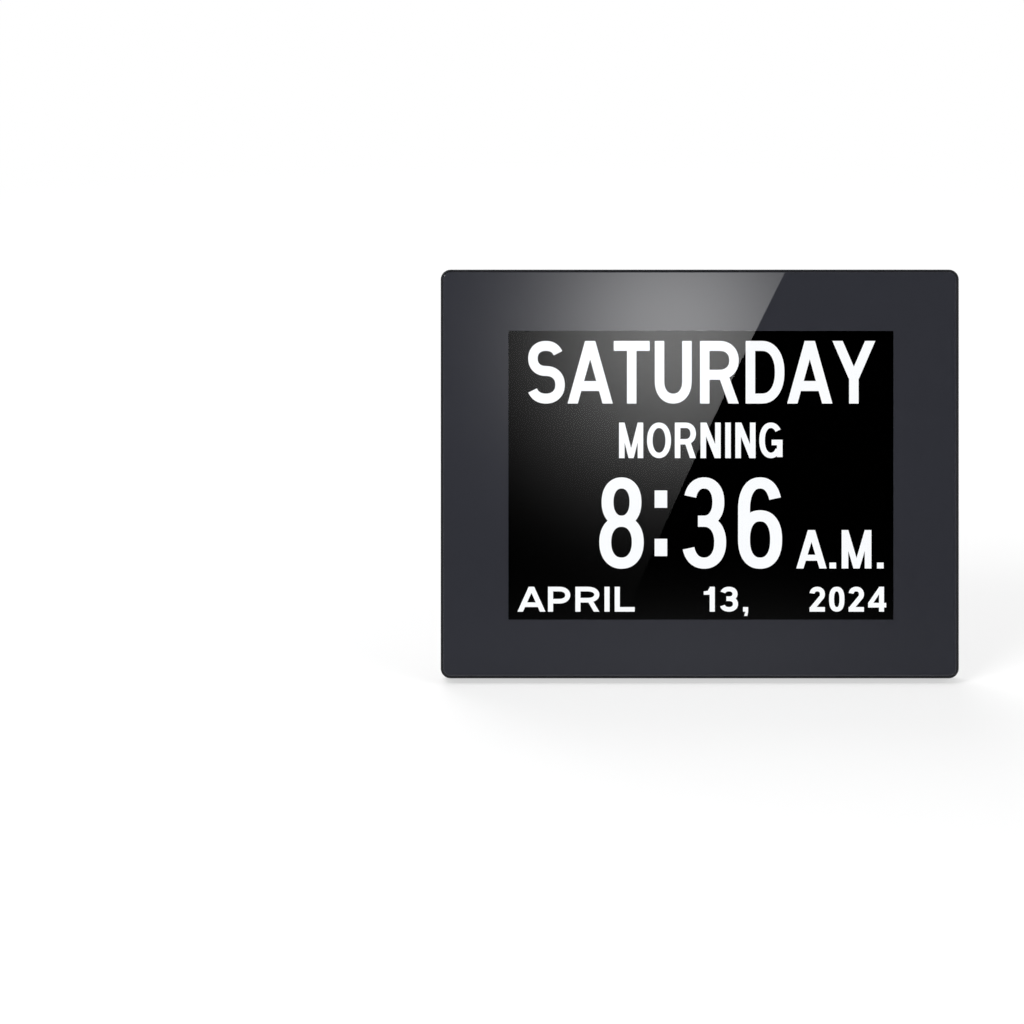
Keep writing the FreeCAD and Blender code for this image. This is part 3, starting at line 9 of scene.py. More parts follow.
import bmesh
import bpy
import numpy as np
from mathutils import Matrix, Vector
from mathutils.geometry import delaunay_2d_cdt


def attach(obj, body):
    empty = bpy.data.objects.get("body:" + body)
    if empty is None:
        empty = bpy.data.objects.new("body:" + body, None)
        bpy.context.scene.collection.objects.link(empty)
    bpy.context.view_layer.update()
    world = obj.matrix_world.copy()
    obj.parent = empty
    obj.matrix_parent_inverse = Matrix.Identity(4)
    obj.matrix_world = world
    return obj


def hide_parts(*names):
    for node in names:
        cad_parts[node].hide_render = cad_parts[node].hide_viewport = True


bl_info = {
    "name": "Day Clock Dressing",
    "version": (1, 0, 0),
    "blender": (4, 5, 0),
    "location": "View3D > Sidebar > Day Clock",
    "description": "Builds the panel, display, legends, finishes and studio of a day clock",
    "category": "Object",
}

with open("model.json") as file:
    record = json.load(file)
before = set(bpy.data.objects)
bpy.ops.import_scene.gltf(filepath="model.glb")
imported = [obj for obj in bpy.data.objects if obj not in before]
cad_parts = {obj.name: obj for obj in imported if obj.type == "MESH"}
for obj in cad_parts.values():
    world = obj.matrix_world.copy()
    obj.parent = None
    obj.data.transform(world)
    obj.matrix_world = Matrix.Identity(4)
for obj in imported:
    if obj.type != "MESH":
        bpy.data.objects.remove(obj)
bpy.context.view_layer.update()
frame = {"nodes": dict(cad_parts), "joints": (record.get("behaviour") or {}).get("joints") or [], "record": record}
NODES = frame["nodes"]
RECORD = frame["record"]
MM = 0.001

# ---- the case's own axes, from a key's travel and the wall hanger's place ----
RIGHT = np.array([1.0, 0.0, 0.0])
REAR = -np.array(next(j for j in frame["joints"] if j["name"] == "power_press")["axis"])
RISE = np.cross(RIGHT, REAR)
HANGER_DEPTH, HANGER_HEIGHT = 23.0, 133.9  # mm, behind the front face and above the lower edge
HANGER = np.array(next(m for m in RECORD["mounts"] if m["name"] == "keyhole_hanger")["pos_m"])
ORIGIN = HANGER - MM * (HANGER_DEPTH * REAR + HANGER_HEIGHT * RISE)

# ---- sizes of the frame that the pieces meet, mm ----
PANEL_W, PANEL_H, PANEL_R = 216.1, 170.1, 3.25
PANEL_BACK, PRINT_BACK = 2.0, 2.1
CASE_H = 172.0
SCREEN_X, SCREEN_Z = 0.5, 85.45
KEYPAD_X, POWER_Z, NAV_Z, MENU_Z = 42.6, 114.2, 86.3, 60.0
ARROW_RADIUS = 11.8
ARROWS_LOW, POWER_LOW = 0.4, 0.2  # how far these prints sit below the middle of their keys
KEY_FACE = 24.0
LABEL_X, LABEL_Z, LABEL_W, LABEL_H, LABEL_FACE = -9.9, 85.0, 50.0, 29.0, 24.15
PORT_STRIP_FLOOR = 12.8
TRAY_BACK = 8.6


def placed(points):
    """Points in the case's axes, mm, to the row frame, m: origin + x RIGHT + y REAR + z RISE."""
    return ORIGIN + MM * np.asarray(points, float) @ np.stack([RIGHT, REAR, RISE])


# ------------------------------------------------------------------ settings a user may change
class DAYCLOCK_PG_panel(bpy.types.PropertyGroup):
    """Sizes and colours of the glossy front panel."""

    window_width: bpy.props.FloatProperty(
        name="Window width", description="Clear width of the printed border, mm", default=162.0
    )
    window_height: bpy.props.FloatProperty(
        name="Window height", description="Clear height of the border, mm", default=121.5
    )
    edge_round: bpy.props.FloatProperty(
        name="Edge round", description="Polished round of the edge, mm", default=0.3, min=0.05
    )
    ink: bpy.props.StringProperty(
        name="Ink", description="sRGB hex of the print behind the panel", default="#303137"
    )


class DAYCLOCK_PG_display(bpy.types.PropertyGroup):
    """What the lit display shows."""

    day: bpy.props.StringProperty(name="Day", description="First line", default="SATURDAY")
    part: bpy.props.StringProperty(name="Part of day", description="Second line", default="MORNING")
    hour: bpy.props.StringProperty(name="Hour", description="Left of the colon", default="8")
    minute: bpy.props.StringProperty(name="Minute", description="Right of the colon", default="36")
    half: bpy.props.StringProperty(name="Half of day", description="After the time", default="A.M.")
    month: bpy.props.StringProperty(name="Month", description="Bottom left", default="APRIL")
    date: bpy.props.StringProperty(name="Date", description="Bottom middle", default="13,")
    year: bpy.props.StringProperty(name="Year", description="Bottom right", default="2024")
    brightness: bpy.props.FloatProperty(
        name="Brightness", description="Strength of the lit pixels", default=1.05, min=0.0
    )


class DAYCLOCK_PG_legends(bpy.types.PropertyGroup):
    """Printed marks on the back."""

    ink: bpy.props.StringProperty(
        name="Ink", description="sRGB hex of the pad-printed marks", default="#dcdce0"
    )
    thickness: bpy.props.FloatProperty(
        name="Thickness", description="Ink above the plastic, mm", default=0.03, min=0.01
    )


class DAYCLOCK_PG_studio(bpy.types.PropertyGroup):
    """Camera and light."""

    camera_distance: bpy.props.FloatProperty(
        name="Camera distance", description="From the panel", default=1.795, subtype="DISTANCE"
    )
    lens: bpy.props.FloatProperty(name="Lens", description="Focal length, mm", default=150.0)
    sky: bpy.props.FloatProperty(
        name="Sky", description="Strength of the even light from above", default=0.22, min=0.0
    )
    floor_size: bpy.props.FloatProperty(
        name="Floor size", description="Side of the floor", default=16.0, subtype="DISTANCE"
    )


# ------------------------------------------------------------------ colour and node helpers
def linear(code):
    """sRGB hex to linear RGBA: c/12.92 up to 0.04045, ((c + 0.055)/1.055)^2.4 above it."""
    value = np.array([int(code[i : i + 2], 16) for i in (1, 3, 5)]) / 255
    made = np.where(value <= 0.04045, value / 12.92, ((value + 0.055) / 1.055) ** 2.4)
    return (*made.tolist(), 1.0)


def add(tree, kind, sockets=None, out=0, **settings):
    """Adds a shader node with its settings, sets or links its inputs, and gives one output."""
    made = tree.nodes.new("ShaderNode" + kind)
    for name, value in settings.items():
        setattr(made, name, value)
    for name, value in (sockets or {}).items():
        if isinstance(value, bpy.types.NodeSocket):
            tree.links.new(value, made.inputs[name])
        else:
            made.inputs[name].default_value = value
    return made.outputs[out] if made.outputs else None


def new_material(name):
    """An empty node material and its tree."""
    made = bpy.data.materials.new(name)
    made.use_nodes = True
    made.node_tree.nodes.clear()
    return made, made.node_tree


def finished(material, tree, shader):
    """Joins the shader to the material's output."""
    add(tree, "OutputMaterial", {"Surface": shader})
    return material


def grain_at(tree, size, detail=2.0, stretch=(1, 1, 1), low=0.0, high=1.0):
    """Noise from low to high whose features are about size millimetres across, divided by stretch
    along each axis, on Object coordinates."""
    where = add(tree, "TexCoord", out="Object")
    turned = add(tree, "Mapping", {"Vector": where, "Scale": stretch})
    grain = add(tree, "TexNoise", {"Vector": turned, "Scale": 1 / (size * MM), "Detail": detail})
    if (low, high) == (0.0, 1.0):
        return grain
    return add(tree, "MapRange", {"Value": grain, "To Min": low, "To Max": high})


def rounded_normal(tree, radius):
    """Normal of the surface as if its edges had that radius in millimetres, and how near an edge
    is: 0 where the rounded and the plain normal agree, 1 where they part by about 32 degrees."""
    soft = add(tree, "Bevel", {"Radius": radius * MM}, samples=6)
    plain = add(tree, "NewGeometry", out="Normal")
    along = add(tree, "VectorMath", {0: soft, 1: plain}, "Value", operation="DOT_PRODUCT")
    return soft, add(tree, "MapRange", {"Value": along, "From Min": 0.995, "From Max": 0.85})


# ------------------------------------------------------------------ materials
def moulded(name, colour, paler_tone_and_highlight, rough, grain, depth, vary=0.05, shine=0.5):
    """An injection-moulded or soft finish: a mould texture of that grain and depth (mm), an edge
    painted paler, partly as wear from handling and partly as a painted highlight, and a slow drift
    of roughness where plastic flowed in the mould. Grain that is finer than about 0.5 mm on the
    real piece is drawn at up to 1 mm, so that it shows."""
    edge, flow = 0.25, 30.0  # mm: the rounding of an edge, and how far the drift reaches
    material, tree = new_material(name)
    soft, near = rounded_normal(tree, edge)
    drift = grain_at(tree, flow, 3.0, high=0.35)
    fine = grain_at(tree, grain, 3.0)
    # edges painted paler: partly wear from handling, partly a painted highlight
    wear_and_edge_highlight = add(tree, "MapRange", {"Value": near, "To Max": 0.6})
    ends = {6: linear(colour), 7: linear(paler_tone_and_highlight)}
    base = add(tree, "Mix", {0: drift, **ends}, 2, data_type="RGBA")
    base = add(tree, "Mix", {0: wear_and_edge_highlight, 6: base, 7: linear(paler_tone_and_highlight)}, 2, data_type="RGBA")
    look = {
        "Base Color": base,
        "Roughness": grain_at(tree, flow, 3.0, low=rough - vary, high=rough + vary),
        "Specular IOR Level": shine,
        "Normal": add(tree, "Bump", {"Height": fine, "Normal": soft, "Distance": depth * MM}),
    }
    return finished(material, tree, add(tree, "BsdfPrincipled", look))


def worked_metal(name, colour, dull, rough, grain, depth, stretch=(1, 1, 1)):
    """A metal part: rolled or turned marks of that grain and depth (mm), stretched along one way,
    with duller and brighter patches, and edges painted bright, partly as wear and partly as a
    painted highlight."""
    edge, spread = 0.12, 14.0  # mm: the rounding of an edge, and the size of a patch
    material, tree = new_material(name)
    soft, near = rounded_normal(tree, edge)
    marks = grain_at(tree, grain, 4.0, stretch)
    patch = grain_at(tree, spread, high=0.7)
    # edges painted bright: partly wear, partly a painted highlight
    wear_and_edge_highlight = add(tree, "MapRange", {"Value": near, "To Max": 0.4})
    ends = {6: linear(colour), 7: linear(dull)}
    base = add(tree, "Mix", {0: patch, **ends}, 2, data_type="RGBA")
    look = {
        "Base Color": add(tree, "Mix", {0: wear_and_edge_highlight, 6: base, 7: linear(colour)}, 2, data_type="RGBA"),
        "Metallic": 1.0,
        "Roughness": grain_at(tree, grain, 4.0, stretch, rough - 0.07, rough + 0.09),
        "Normal": add(tree, "Bump", {"Height": marks, "Normal": soft, "Distance": depth * MM}),
    }
    return finished(material, tree, add(tree, "BsdfPrincipled", look))


def soldered_board(name, mask, copper, rough):
    """Glass-epoxy board under solder mask: tracks show as slightly paler runs, 1 mm apart."""
    material, tree = new_material(name)
    bricks = {"Scale": 1 / (4.0 * MM), "Mortar Size": 0.06, "Mortar": linear(copper)}
    masks = {"Color1": linear(mask), "Color2": linear(mask)}
    where = add(tree, "TexCoord", out="Object")
    tracks = add(tree, "TexBrick", {"Vector": where, **bricks, **masks}).node.outputs
    look = {
        "Base Color": tracks["Color"],
        "Roughness": grain_at(tree, 5.0, low=rough - 0.05, high=rough + 0.1),
        "Normal": add(tree, "Bump", {"Height": tracks["Fac"], "Distance": 0.02 * MM}),
    }
    return finished(material, tree, add(tree, "BsdfPrincipled", look))


def back_printed_acrylic(ink):
    """PMMA sheet, cast and polished, screen-printed black on its back: one sharp reflection, and a
    depthless dark ground whose ink drifts a little in density."""
    material, tree = new_material("back_printed_acrylic")
    density = grain_at(tree, 60.0, high=0.3)
    ends = {6: linear(ink), 7: linear("#2a2b30")}
    look = {
        "Base Color": add(tree, "Mix", {0: density, **ends}, 2, data_type="RGBA"),
        "Roughness": grain_at(tree, 8.0, low=0.003, high=0.008),
        "IOR": 1.58,
    }
    return finished(material, tree, add(tree, "BsdfPrincipled", look))


def acrylic_window():
    """The unprinted part of the PMMA sheet: clear, with one reflection from its polished face."""
    material, tree = new_material("acrylic_window")
    polish = grain_at(tree, 8.0, low=0.003, high=0.008)
    shine = add(tree, "BsdfGlossy", {"Color": (1, 1, 1, 1), "Roughness": polish})
    clear = add(tree, "BsdfTransparent", {"Color": linear("#fbfcfd")})
    edge_on = add(tree, "Fresnel", {"IOR": 1.46})
    return finished(material, tree, add(tree, "MixShader", {0: edge_on, 1: clear, 2: shine}))


def window_back():
    """Inner face of the clear sheet, with no reflection of its own."""
    material, tree = new_material("acrylic_window_back")
    ends = {6: linear("#fdfeff"), 7: linear("#f8f9fa")}
    tint = add(tree, "Mix", {0: grain_at(tree, 40.0), **ends}, 2, data_type="RGBA")
    return finished(material, tree, add(tree, "BsdfTransparent", {"Color": tint}))


def lit_pixels(brightness):
    """Liquid-crystal cells that pass the white backlight: an even white, a little uneven like the
    light guide behind it."""
    material, tree = new_material("lit_pixels")
    look = {
        "Base Color": linear("#202020"),
        "Roughness": 0.4,
        "Emission Color": linear("#ffffff"),
        "Emission Strength": grain_at(tree, 50.0, low=0.98 * brightness, high=1.02 * brightness),
    }
    return finished(material, tree, add(tree, "BsdfPrincipled", look))


def printed_ink(name, colour, rough, thin="#8f9094", shine=0.5):
    """Pad-printed ink: a dry film whose cover thins a little here and there, towards thin."""
    material, tree = new_material(name)
    size = 0.6  # mm, of a thin place
    ends = {6: linear(colour), 7: linear(thin)}
    look = {
        "Base Color": add(
            tree, "Mix", {0: grain_at(tree, size, high=0.25), **ends}, 2, data_type="RGBA"
        ),
        "Roughness": grain_at(tree, size, low=rough - 0.05, high=rough + 0.08),
        "Specular IOR Level": shine,
    }
    return finished(material, tree, add(tree, "BsdfPrincipled", look))


def finishes():
    """Each finish by the record's slot name. Numbers are roughness, grain mm and depth mm."""
    return {
        # moulded ABS with a fine matt texture: a soft grey haze over a black ground
        "black_abs": moulded(
            "satin_black_abs", "#121317", "#25272c", 0.36, 0.6, 0.006, shine=0.3
        ),
        # ABS from a spark-eroded mould: the driest and palest black on the case. Its texture is
        # drawn at 0.8 mm where the real one is 0.2 mm
        "black_abs_textured": moulded(
            "spark_textured_abs", "#16181c", "#2a2c32", 0.52, 0.8, 0.010, shine=0.24
        ),
        # ABS keys, finer and a little darker than the cover round them
        "black_abs_keys": moulded(
            "fine_satin_abs", "#131519", "#26282d", 0.40, 0.5, 0.005, shine=0.3
        ),
        # ABS of the stand: the darkest, made glossier by handling
        "black_abs_stand": moulded(
            "satin_stand_abs", "#0e1014", "#25272c", 0.38, 0.7, 0.008, shine=0.25
        ),
        # moulded nylon: neutral, dull, with flow marks
        "black_nylon": moulded("moulded_nylon", "#151516", "#29292b", 0.5, 0.5, 0.01),
        # closed-cell foam: matt, with the pits of cut cells
        "adhesive_foam": moulded("closed_cell_foam", "#101010", "#1d1d1e", 0.9, 0.25, 0.03),
        # moulded silicone rubber: soft mid grey with a dry sheen
        "grey_rubber": moulded("silicone_rubber", "#6b6d70", "#7d7f82", 0.7, 0.5, 0.01),
        # opal PMMA: milky and smooth
        "diffuser_acrylic": moulded("opal_acrylic", "#e9ebee", "#f2f3f5", 0.25, 1.0, 0.003),
        # white moulded resin: warm white with an eggshell sheen
        "white_resin": moulded("white_resin", "#dcdcd6", "#e8e8e3", 0.4, 0.5, 0.006),
        # transfer-moulded epoxy of the chips: slate black without sheen
        "chip_resin": moulded("moulded_epoxy", "#1c1c1d", "#2a2a2b", 0.6, 0.2, 0.008),
        # pressed paper pulp: brown-black and felted
        "speaker_paper": moulded("pressed_paper", "#26231f", "#37332d", 0.85, 0.4, 0.03),
        # extruded PVC: dark and waxy
        "lead_insulation": moulded("pvc_insulation", "#17110f", "#251d1b", 0.45, 0.8, 0.004),
        # screen-printed ink: flat black
        "black_ink": moulded("screen_printed_black", "#101011", "#161617", 0.5, 0.3, 0.002),
        # polished edge of the PMMA sheet: dark and glassy
        "clear_acrylic": moulded("clear_acrylic_edge", "#0d0e0f", "#131415", 0.05, 2.0, 0.001),
        # the display's front polariser: near black, with a fine anti-glare grain
        "display_glass": moulded(
            "display_polariser", "#010101", "#020203", 0.45, 0.3, 0.002, shine=0.0
        ),
        # polyester label: off-white with a soft sheen
        "label_film": moulded(
            "polyester_label", "#dedcda", "#e9e7e5", 0.38, 0.5, 0.003, vary=0.03
        ),
        # clear polyester film over tinned copper tracks: silvery, duller than the tray behind it
        "cable_film": worked_metal("tinned_flat_cable", "#9c9ea1", "#828487", 0.34, 1.0, 0.004),
        # orange polyimide film with copper under it: amber brown, glossy
        "polyimide_flex": moulded("polyimide_flex", "#6b3f14", "#7d4d1f", 0.3, 0.8, 0.004),
        # hot-dip galvanised sheet: cool grey in dull patches; its dark grey is partly its own and partly painted
        # shade, for the shade behind the slots it is seen through
        "zinc_steel": worked_metal("galvanised_sheet", "#7a7c7e", "#5e6063", 0.32, 1.2, 0.003),
        # rolled aluminium: pale, with rolling lines across the display
        "tray_aluminium": worked_metal(
            "rolled_aluminium", "#d2d4d6", "#b3b6b9", 0.28, 0.5, 0.004, (0.08, 1, 1)
        ),
        # nickel-plated screws: warm grey, with rims painted bright, partly as wear and partly as a painted
        # highlight
        "screw_steel": worked_metal(
            "nickel_plated_screw", "#958f86", "#6a655c", 0.26, 0.4, 0.004
        ),
        # turned brass under thin nickel: pale straw
        "brass": worked_metal("nickelled_brass", "#c9b47a", "#a08f60", 0.28, 0.5, 0.003),
        # drawn can of the backup cell: bright and smooth
        "cell_steel": worked_metal("nickelled_steel", "#b8babc", "#95989b", 0.22, 0.5, 0.002),
        # plated magnet: a duller grey than the cell
        "magnet_steel": worked_metal("plated_magnet", "#8b8d90", "#6d6f72", 0.3, 0.6, 0.003),
        # FR-4 under green solder mask: deep green, half glossy
        "circuit_board": soldered_board("solder_masked_board", "#0b3a22", "#15553a", 0.35),
    }


# ------------------------------------------------------------------ surfaces
def rounded_rectangle(cx, cz, width, height, radius):
    """Closed outline: four quarter circles, centre + radius (cos t, sin t), and straight sides."""
    steps = 8  # points on each quarter circle
    turn = np.linspace(0, np.pi / 2, steps)
    turns = (turn + np.arange(4)[:, None] * np.pi / 2).ravel()
    side = np.repeat(np.array([[1, 1], [-1, 1], [-1, -1], [1, -1]]), steps, axis=0)
    reach = np.array([width / 2 - radius, height / 2 - radius])
    return np.array([cx, cz]) + side * reach + radius * np.stack([np.cos(turns), np.sin(turns)], 1)


def lofted(rings):
    """Faces of rings of equal length joined in order, with each end ring closed by one face."""
    rows, count = len(rings), len(rings[0])
    first = np.arange(count)
    after = (first + 1) % count
    step = np.arange(rows - 1)[:, None] * count
    quads = np.stack(
        [step + first, step + after, step + count + after, step + count + first], -1
    ).reshape(-1, 4)
    return [first.tolist(), *quads.tolist(), (first + (rows - 1) * count).tolist()]


def union_of(outlines):
    """Triangles that cover simple closed outlines and their overlaps once: a constrained
    triangulation that keeps the triangles inside any outline. Outlines run anticlockwise, which is
    where the shoelace sum of x_i z_(i+1) - x_(i+1) z_i is positive."""

    def shoelace(o):
        return (o[:, 0] * np.roll(o[:, 1], -1) - np.roll(o[:, 0], -1) * o[:, 1]).sum()

    outlines = [o if shoelace(o) > 0 else o[::-1] for o in outlines]
    points = [Vector(p) for outline in outlines for p in outline]
    starts = np.cumsum([0] + [len(o) for o in outlines]).tolist()
    faces = [list(range(starts[i], starts[i + 1])) for i in range(len(outlines))]
    made = delaunay_2d_cdt(points, [], faces, 1, 1e-6)
    inside = [list(tri) for tri, ids in zip(made[2], made[5]) if ids]
    return np.array([list(p) for p in made[0]], float), np.array(inside, int)


def slab(points, triangles, y0, y1):
    """A flat shape given a thickness: the triangles at y0 and at y1, and a wall along each edge
    that only one triangle has."""
    count = len(points)
    front = np.insert(points, 1, y0, axis=1)
    back = np.insert(points, 1, y1, axis=1)
    edges = np.concatenate([triangles[:, [0, 1]], triangles[:, [1, 2]], triangles[:, [2, 0]]])
    both = np.sort(edges, axis=1)
    _, index, times = np.unique(both, axis=0, return_inverse=True, return_counts=True)
    rim = edges[times[index.ravel()] == 1]
    walls = np.stack([rim[:, 1], rim[:, 0], rim[:, 0] + count, rim[:, 1] + count], 1)
    faces = [*triangles.tolist(), *(triangles[:, ::-1] + count).tolist(), *walls.tolist()]
    return np.concatenate([front, back]), faces


def rectangle(x0, x1, z0, z1):
    """Closed outline of an upright rectangle."""
    return np.array([[x0, z0], [x1, z0], [x1, z1], [x0, z1]])


def piece(name, points, faces, body, materials, material_of=None):
    """A named closed mesh in the row frame that rides on a body."""
    mesh = bpy.data.meshes.new(name)
    mesh.from_pydata(placed(points).tolist(), [], faces)
    for material in materials:
        mesh.materials.append(material)
    if material_of is not None:
        mesh.polygons.foreach_set("material_index", np.asarray(material_of, np.int32))
    shell = bmesh.new()
    shell.from_mesh(mesh)
    bmesh.ops.remove_doubles(shell, verts=shell.verts, dist=1e-7)
    loose = [v for v in shell.verts if not v.link_faces]
    bmesh.ops.delete(shell, geom=loose, context="VERTS")
    bmesh.ops.recalc_face_normals(shell, faces=shell.faces)
    shell.to_mesh(mesh)
    shell.free()
    mesh.shade_flat()
    made = bpy.data.objects.new(name, mesh)
    bpy.context.scene.collection.objects.link(made)
    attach(made, body)
    return made


# ------------------------------------------------------------------ lettering
def arc(cx, cz, rx, rz, start, end, power=2.0, steps=20):
    """Superellipse arc: x = cx + rx sgn(cos t)|cos t|^(2/power), z the same with sin, t from start
    to end in degrees."""
    turn = np.radians(np.linspace(start, end, steps))
    c, s = np.cos(turn), np.sin(turn)
    return np.stack(
        [
            cx + rx * np.sign(c) * np.abs(c) ** (2 / power),
            cz + rz * np.sign(s) * np.abs(s) ** (2 / power),
        ],
        1,
    )


def stroke(path, a, b):
    """Outline of a path drawn with an elliptical pen of half width a and half height b: each point
    moved both ways by (a^2 n_x, b^2 n_z) / sqrt(a^2 n_x^2 + b^2 n_z^2), n the path's normal."""
    path = np.concatenate([np.atleast_2d(p) for p in path])
    along = np.gradient(path, axis=0)
    normal = np.stack([-along[:, 1], along[:, 0]], 1)
    pen = np.array([a, b])
    out = normal * pen**2 / np.sqrt(((normal * pen) ** 2).sum(1))[:, None]
    return np.concatenate([path + out, (path - out)[::-1]])


# ink width of a letter as a share of its height, and the space at its sides
LETTER_WIDTH = {
    **dict.fromkeys("02356789", 0.66),
    **{"1": 0.40, "4": 0.78, "A": 0.98, "B": 0.82, "C": 0.88, "D": 0.84, "E": 0.75, "G": 0.92},
    **{"H": 0.80, "K": 0.86, "L": 0.70, "M": 0.96, "N": 0.80, "O": 0.95, "P": 0.78, "R": 0.84},
    **{"S": 0.82, "T": 0.78, "U": 0.80, "V": 0.93, "Y": 0.93, " ": 0.35},
}
PEN_WIDE = "I.,:"  # as wide as their stem
SIDE_SPACE = {**dict.fromkeys("AVY", 0.0), "T": 0.02, **dict.fromkeys("CGOSD", 0.06)}
PLAIN_SPACE = 0.09


def letter(char, w, a, b):
    """Outlines of one plain grotesque letter, height 1 and width w, with stems 2a and bars 2b."""
    mid, right, top = w / 2, w - a, 1 - b
    h = a * 1.08  # half width of a slanted stroke, measured level

    def stem(x, low=0.0, high=1.0):
        return rectangle(x - a, x + a, low, high)

    def bar(z, x0=0.0, x1=w):
        return rectangle(x0, x1, z - b, z + b)

    def slant(x0, z0, x1, z1, thin=1.0):
        k = h * thin
        return np.array([[x0 - k, z0], [x0 + k, z0], [x1 + k, z1], [x1 - k, z1]])

    def dot(z):
        return rectangle(mid - a, mid + a, z, z + 2 * b)

    def pen(*path):
        return stroke(path, a, b)

    def bowl(low, straight):
        """Half-round bar from the stem, over the top at full height and back at the height low."""
        rz = (top - low) / 2
        return pen([a, top], arc(straight, low + rz, right - straight, rz, 90, -90, 2.2), [a, low])

    def low_bowl(high, straight):
        """The same from the stem at the height high down to the foot."""
        rz = (high - b) / 2
        return pen([a, high], arc(straight, b + rz, right - straight, rz, 90, -90, 2.2), [a, b])

    def four():
        """Stem, bar and a diagonal of even width whose lower edge runs beside its upper one."""
        x, low = w * 0.74, 0.26 + b
        steep = (1 - low) / (x - 0.9 * a)
        inner = [[x, 1], [x - a, low + steep * (x - 3 * a)], [2.1 * a, low], [2.1 * a, 0.26 - b]]
        slope = np.array([[0, 0.26 - b], [0, low], [x - 0.9 * a, 1], *inner])
        return [stem(x), bar(0.26), slope]

    def one():
        """Stem with a flag to the left."""
        tip = [[w - a, 0.68], [w - a, 1.0], [w - 1.8 * a, 1.0]]
        return [stem(right), np.array([[0, 0.68], *tip, [w * 0.36, 0.84], [0, 0.81]])]

    def five():
        """Bar, a steep stroke down from its left end, and a bowl that is open to the left."""
        x = w * 0.16
        back = [[w * 0.06, 0.45], [w * 0.06 + 2 * a, 0.50], [x + 2 * a * 0.9, 1], [x, 1]]
        belly = arc(mid, 0.33, mid - a, 0.33 - b, 140, -160, 2.2, 40)
        return [bar(top, x, w * 0.96), np.array(back), pen(belly)]

    def comma():
        """A dot with a tail to the left."""
        tail = [[mid, 0.01], [mid + a, 0.01], [mid + a * 0.7, -0.17], [mid - a * 0.6, -0.17]]
        return [dot(0), np.array(tail)]

    def ring(cx, cz, rx, rz, power):
        return [pen(arc(cx, cz, rx, rz, s, s + 190, power, 30)) for s in (85, 265)]

    waist = 0.52
    upper_r, lower_r = (top - waist) / 2, (waist - b) / 2
    shapes = {
        "A": lambda: [slant(h, 0, mid, 1), slant(w - h, 0, mid, 1), bar(0.28, w * 0.2, w * 0.8)],
        "B": lambda: [stem(a), bowl(waist, w * 0.45), low_bowl(waist, w * 0.5)],
        "C": lambda: [pen(arc(mid, 0.5, right - mid, 0.5 - b, 42, 318, 2.2, 40))],
        "D": lambda: [stem(a), bowl(b, w * 0.42)],
        "E": lambda: [stem(a), bar(b), bar(top), bar(0.52, 0, w * 0.93)],
        "G": lambda: [
            pen(arc(mid, 0.5, right - mid, 0.5 - b, 38, 325, 2.2, 40)),
            bar(0.44, mid + 0.02, w),
            stem(right, 0.03, 0.44 + b),
        ],
        "H": lambda: [stem(a), stem(right), bar(0.52)],
        "I": lambda: [stem(mid)],
        "K": lambda: [stem(a), slant(a, 0.28, w - 1.25 * h, 1), slant(w - h, 0, w * 0.40, 0.66)],
        "L": lambda: [stem(a), bar(b)],
        "M": lambda: [
            stem(a),
            stem(right),
            slant(mid, 0, h, 1, 0.85),
            slant(mid, 0, w - h, 1, 0.85),
        ],
        "N": lambda: [stem(a), stem(right), slant(w - h, 0, h, 1)],
        "O": lambda: ring(mid, 0.5, mid - a, 0.5 - b, 2.15),
        "P": lambda: [stem(a), bowl(0.42, w * 0.5)],
        "R": lambda: [stem(a), bowl(0.46, w * 0.5), slant(w - h, 0, w * 0.60, 0.46)],
        "S": lambda: [
            pen(
                arc(mid, waist + upper_r, mid - a - 0.02, upper_r, 22, 268, 2.2, 40),
                arc(mid, waist - lower_r, mid - a, lower_r, 88, -158, 2.2, 40),
            )
        ],
        "T": lambda: [stem(mid), bar(top)],
        "U": lambda: [
            pen([a, 1], arc(mid, 0.36, mid - a, 0.36 - b, 180, 360, 2.2, 30), [right, 1])
        ],
        "V": lambda: [slant(mid, 0, h, 1), slant(mid, 0, w - h, 1)],
        "Y": lambda: [stem(mid, 0, 0.46), slant(mid, 0.40, h, 1), slant(mid, 0.40, w - h, 1)],
        "0": lambda: ring(mid, 0.5, mid - a, 0.5 - b, 2.5),
        "1": one,
        "2": lambda: [
            pen(arc(mid, 0.70, mid - a, 0.30 - b, 172, -28, 2.2, 30), [a * 1.15, b * 1.5]),
            bar(b),
        ],
        "3": lambda: [
            pen(
                arc(mid, waist + upper_r, mid - a - 0.02, upper_r, 165, -90, 2.2, 30),
                [w * 0.36, waist],
            ),
            pen([w * 0.36, waist], arc(mid, waist - lower_r, mid - a, lower_r, 90, -165, 2.2, 30)),
        ],
        "4": four,
        "5": five,
        "6": lambda: [
            *ring(mid, 0.32, mid - a, 0.32 - b, 2.3),
            pen(arc(mid, 0.64, mid - a, 0.36 - b, 22, 180, 2.3, 30), [a, 0.32]),
        ],
        "7": lambda: [bar(top), slant(w * 0.36, 0, w - h, 1 - b)],
        "8": lambda: [
            *ring(mid, waist + upper_r, mid - a - 0.025, upper_r, 2.2),
            *ring(mid, waist - lower_r, mid - a, lower_r, 2.2),
        ],
        "9": lambda: [
            *ring(mid, 0.68, mid - a, 0.32 - b, 2.3),
            pen([right, 0.68], arc(mid, 0.36, mid - a, 0.36 - b, 0, -158, 2.3, 30)),
        ],
        " ": lambda: [],
        ".": lambda: [dot(0)],
        ",": comma,
        ":": lambda: [dot(0.138), dot(0.667)],
    }
    return shapes[char]()


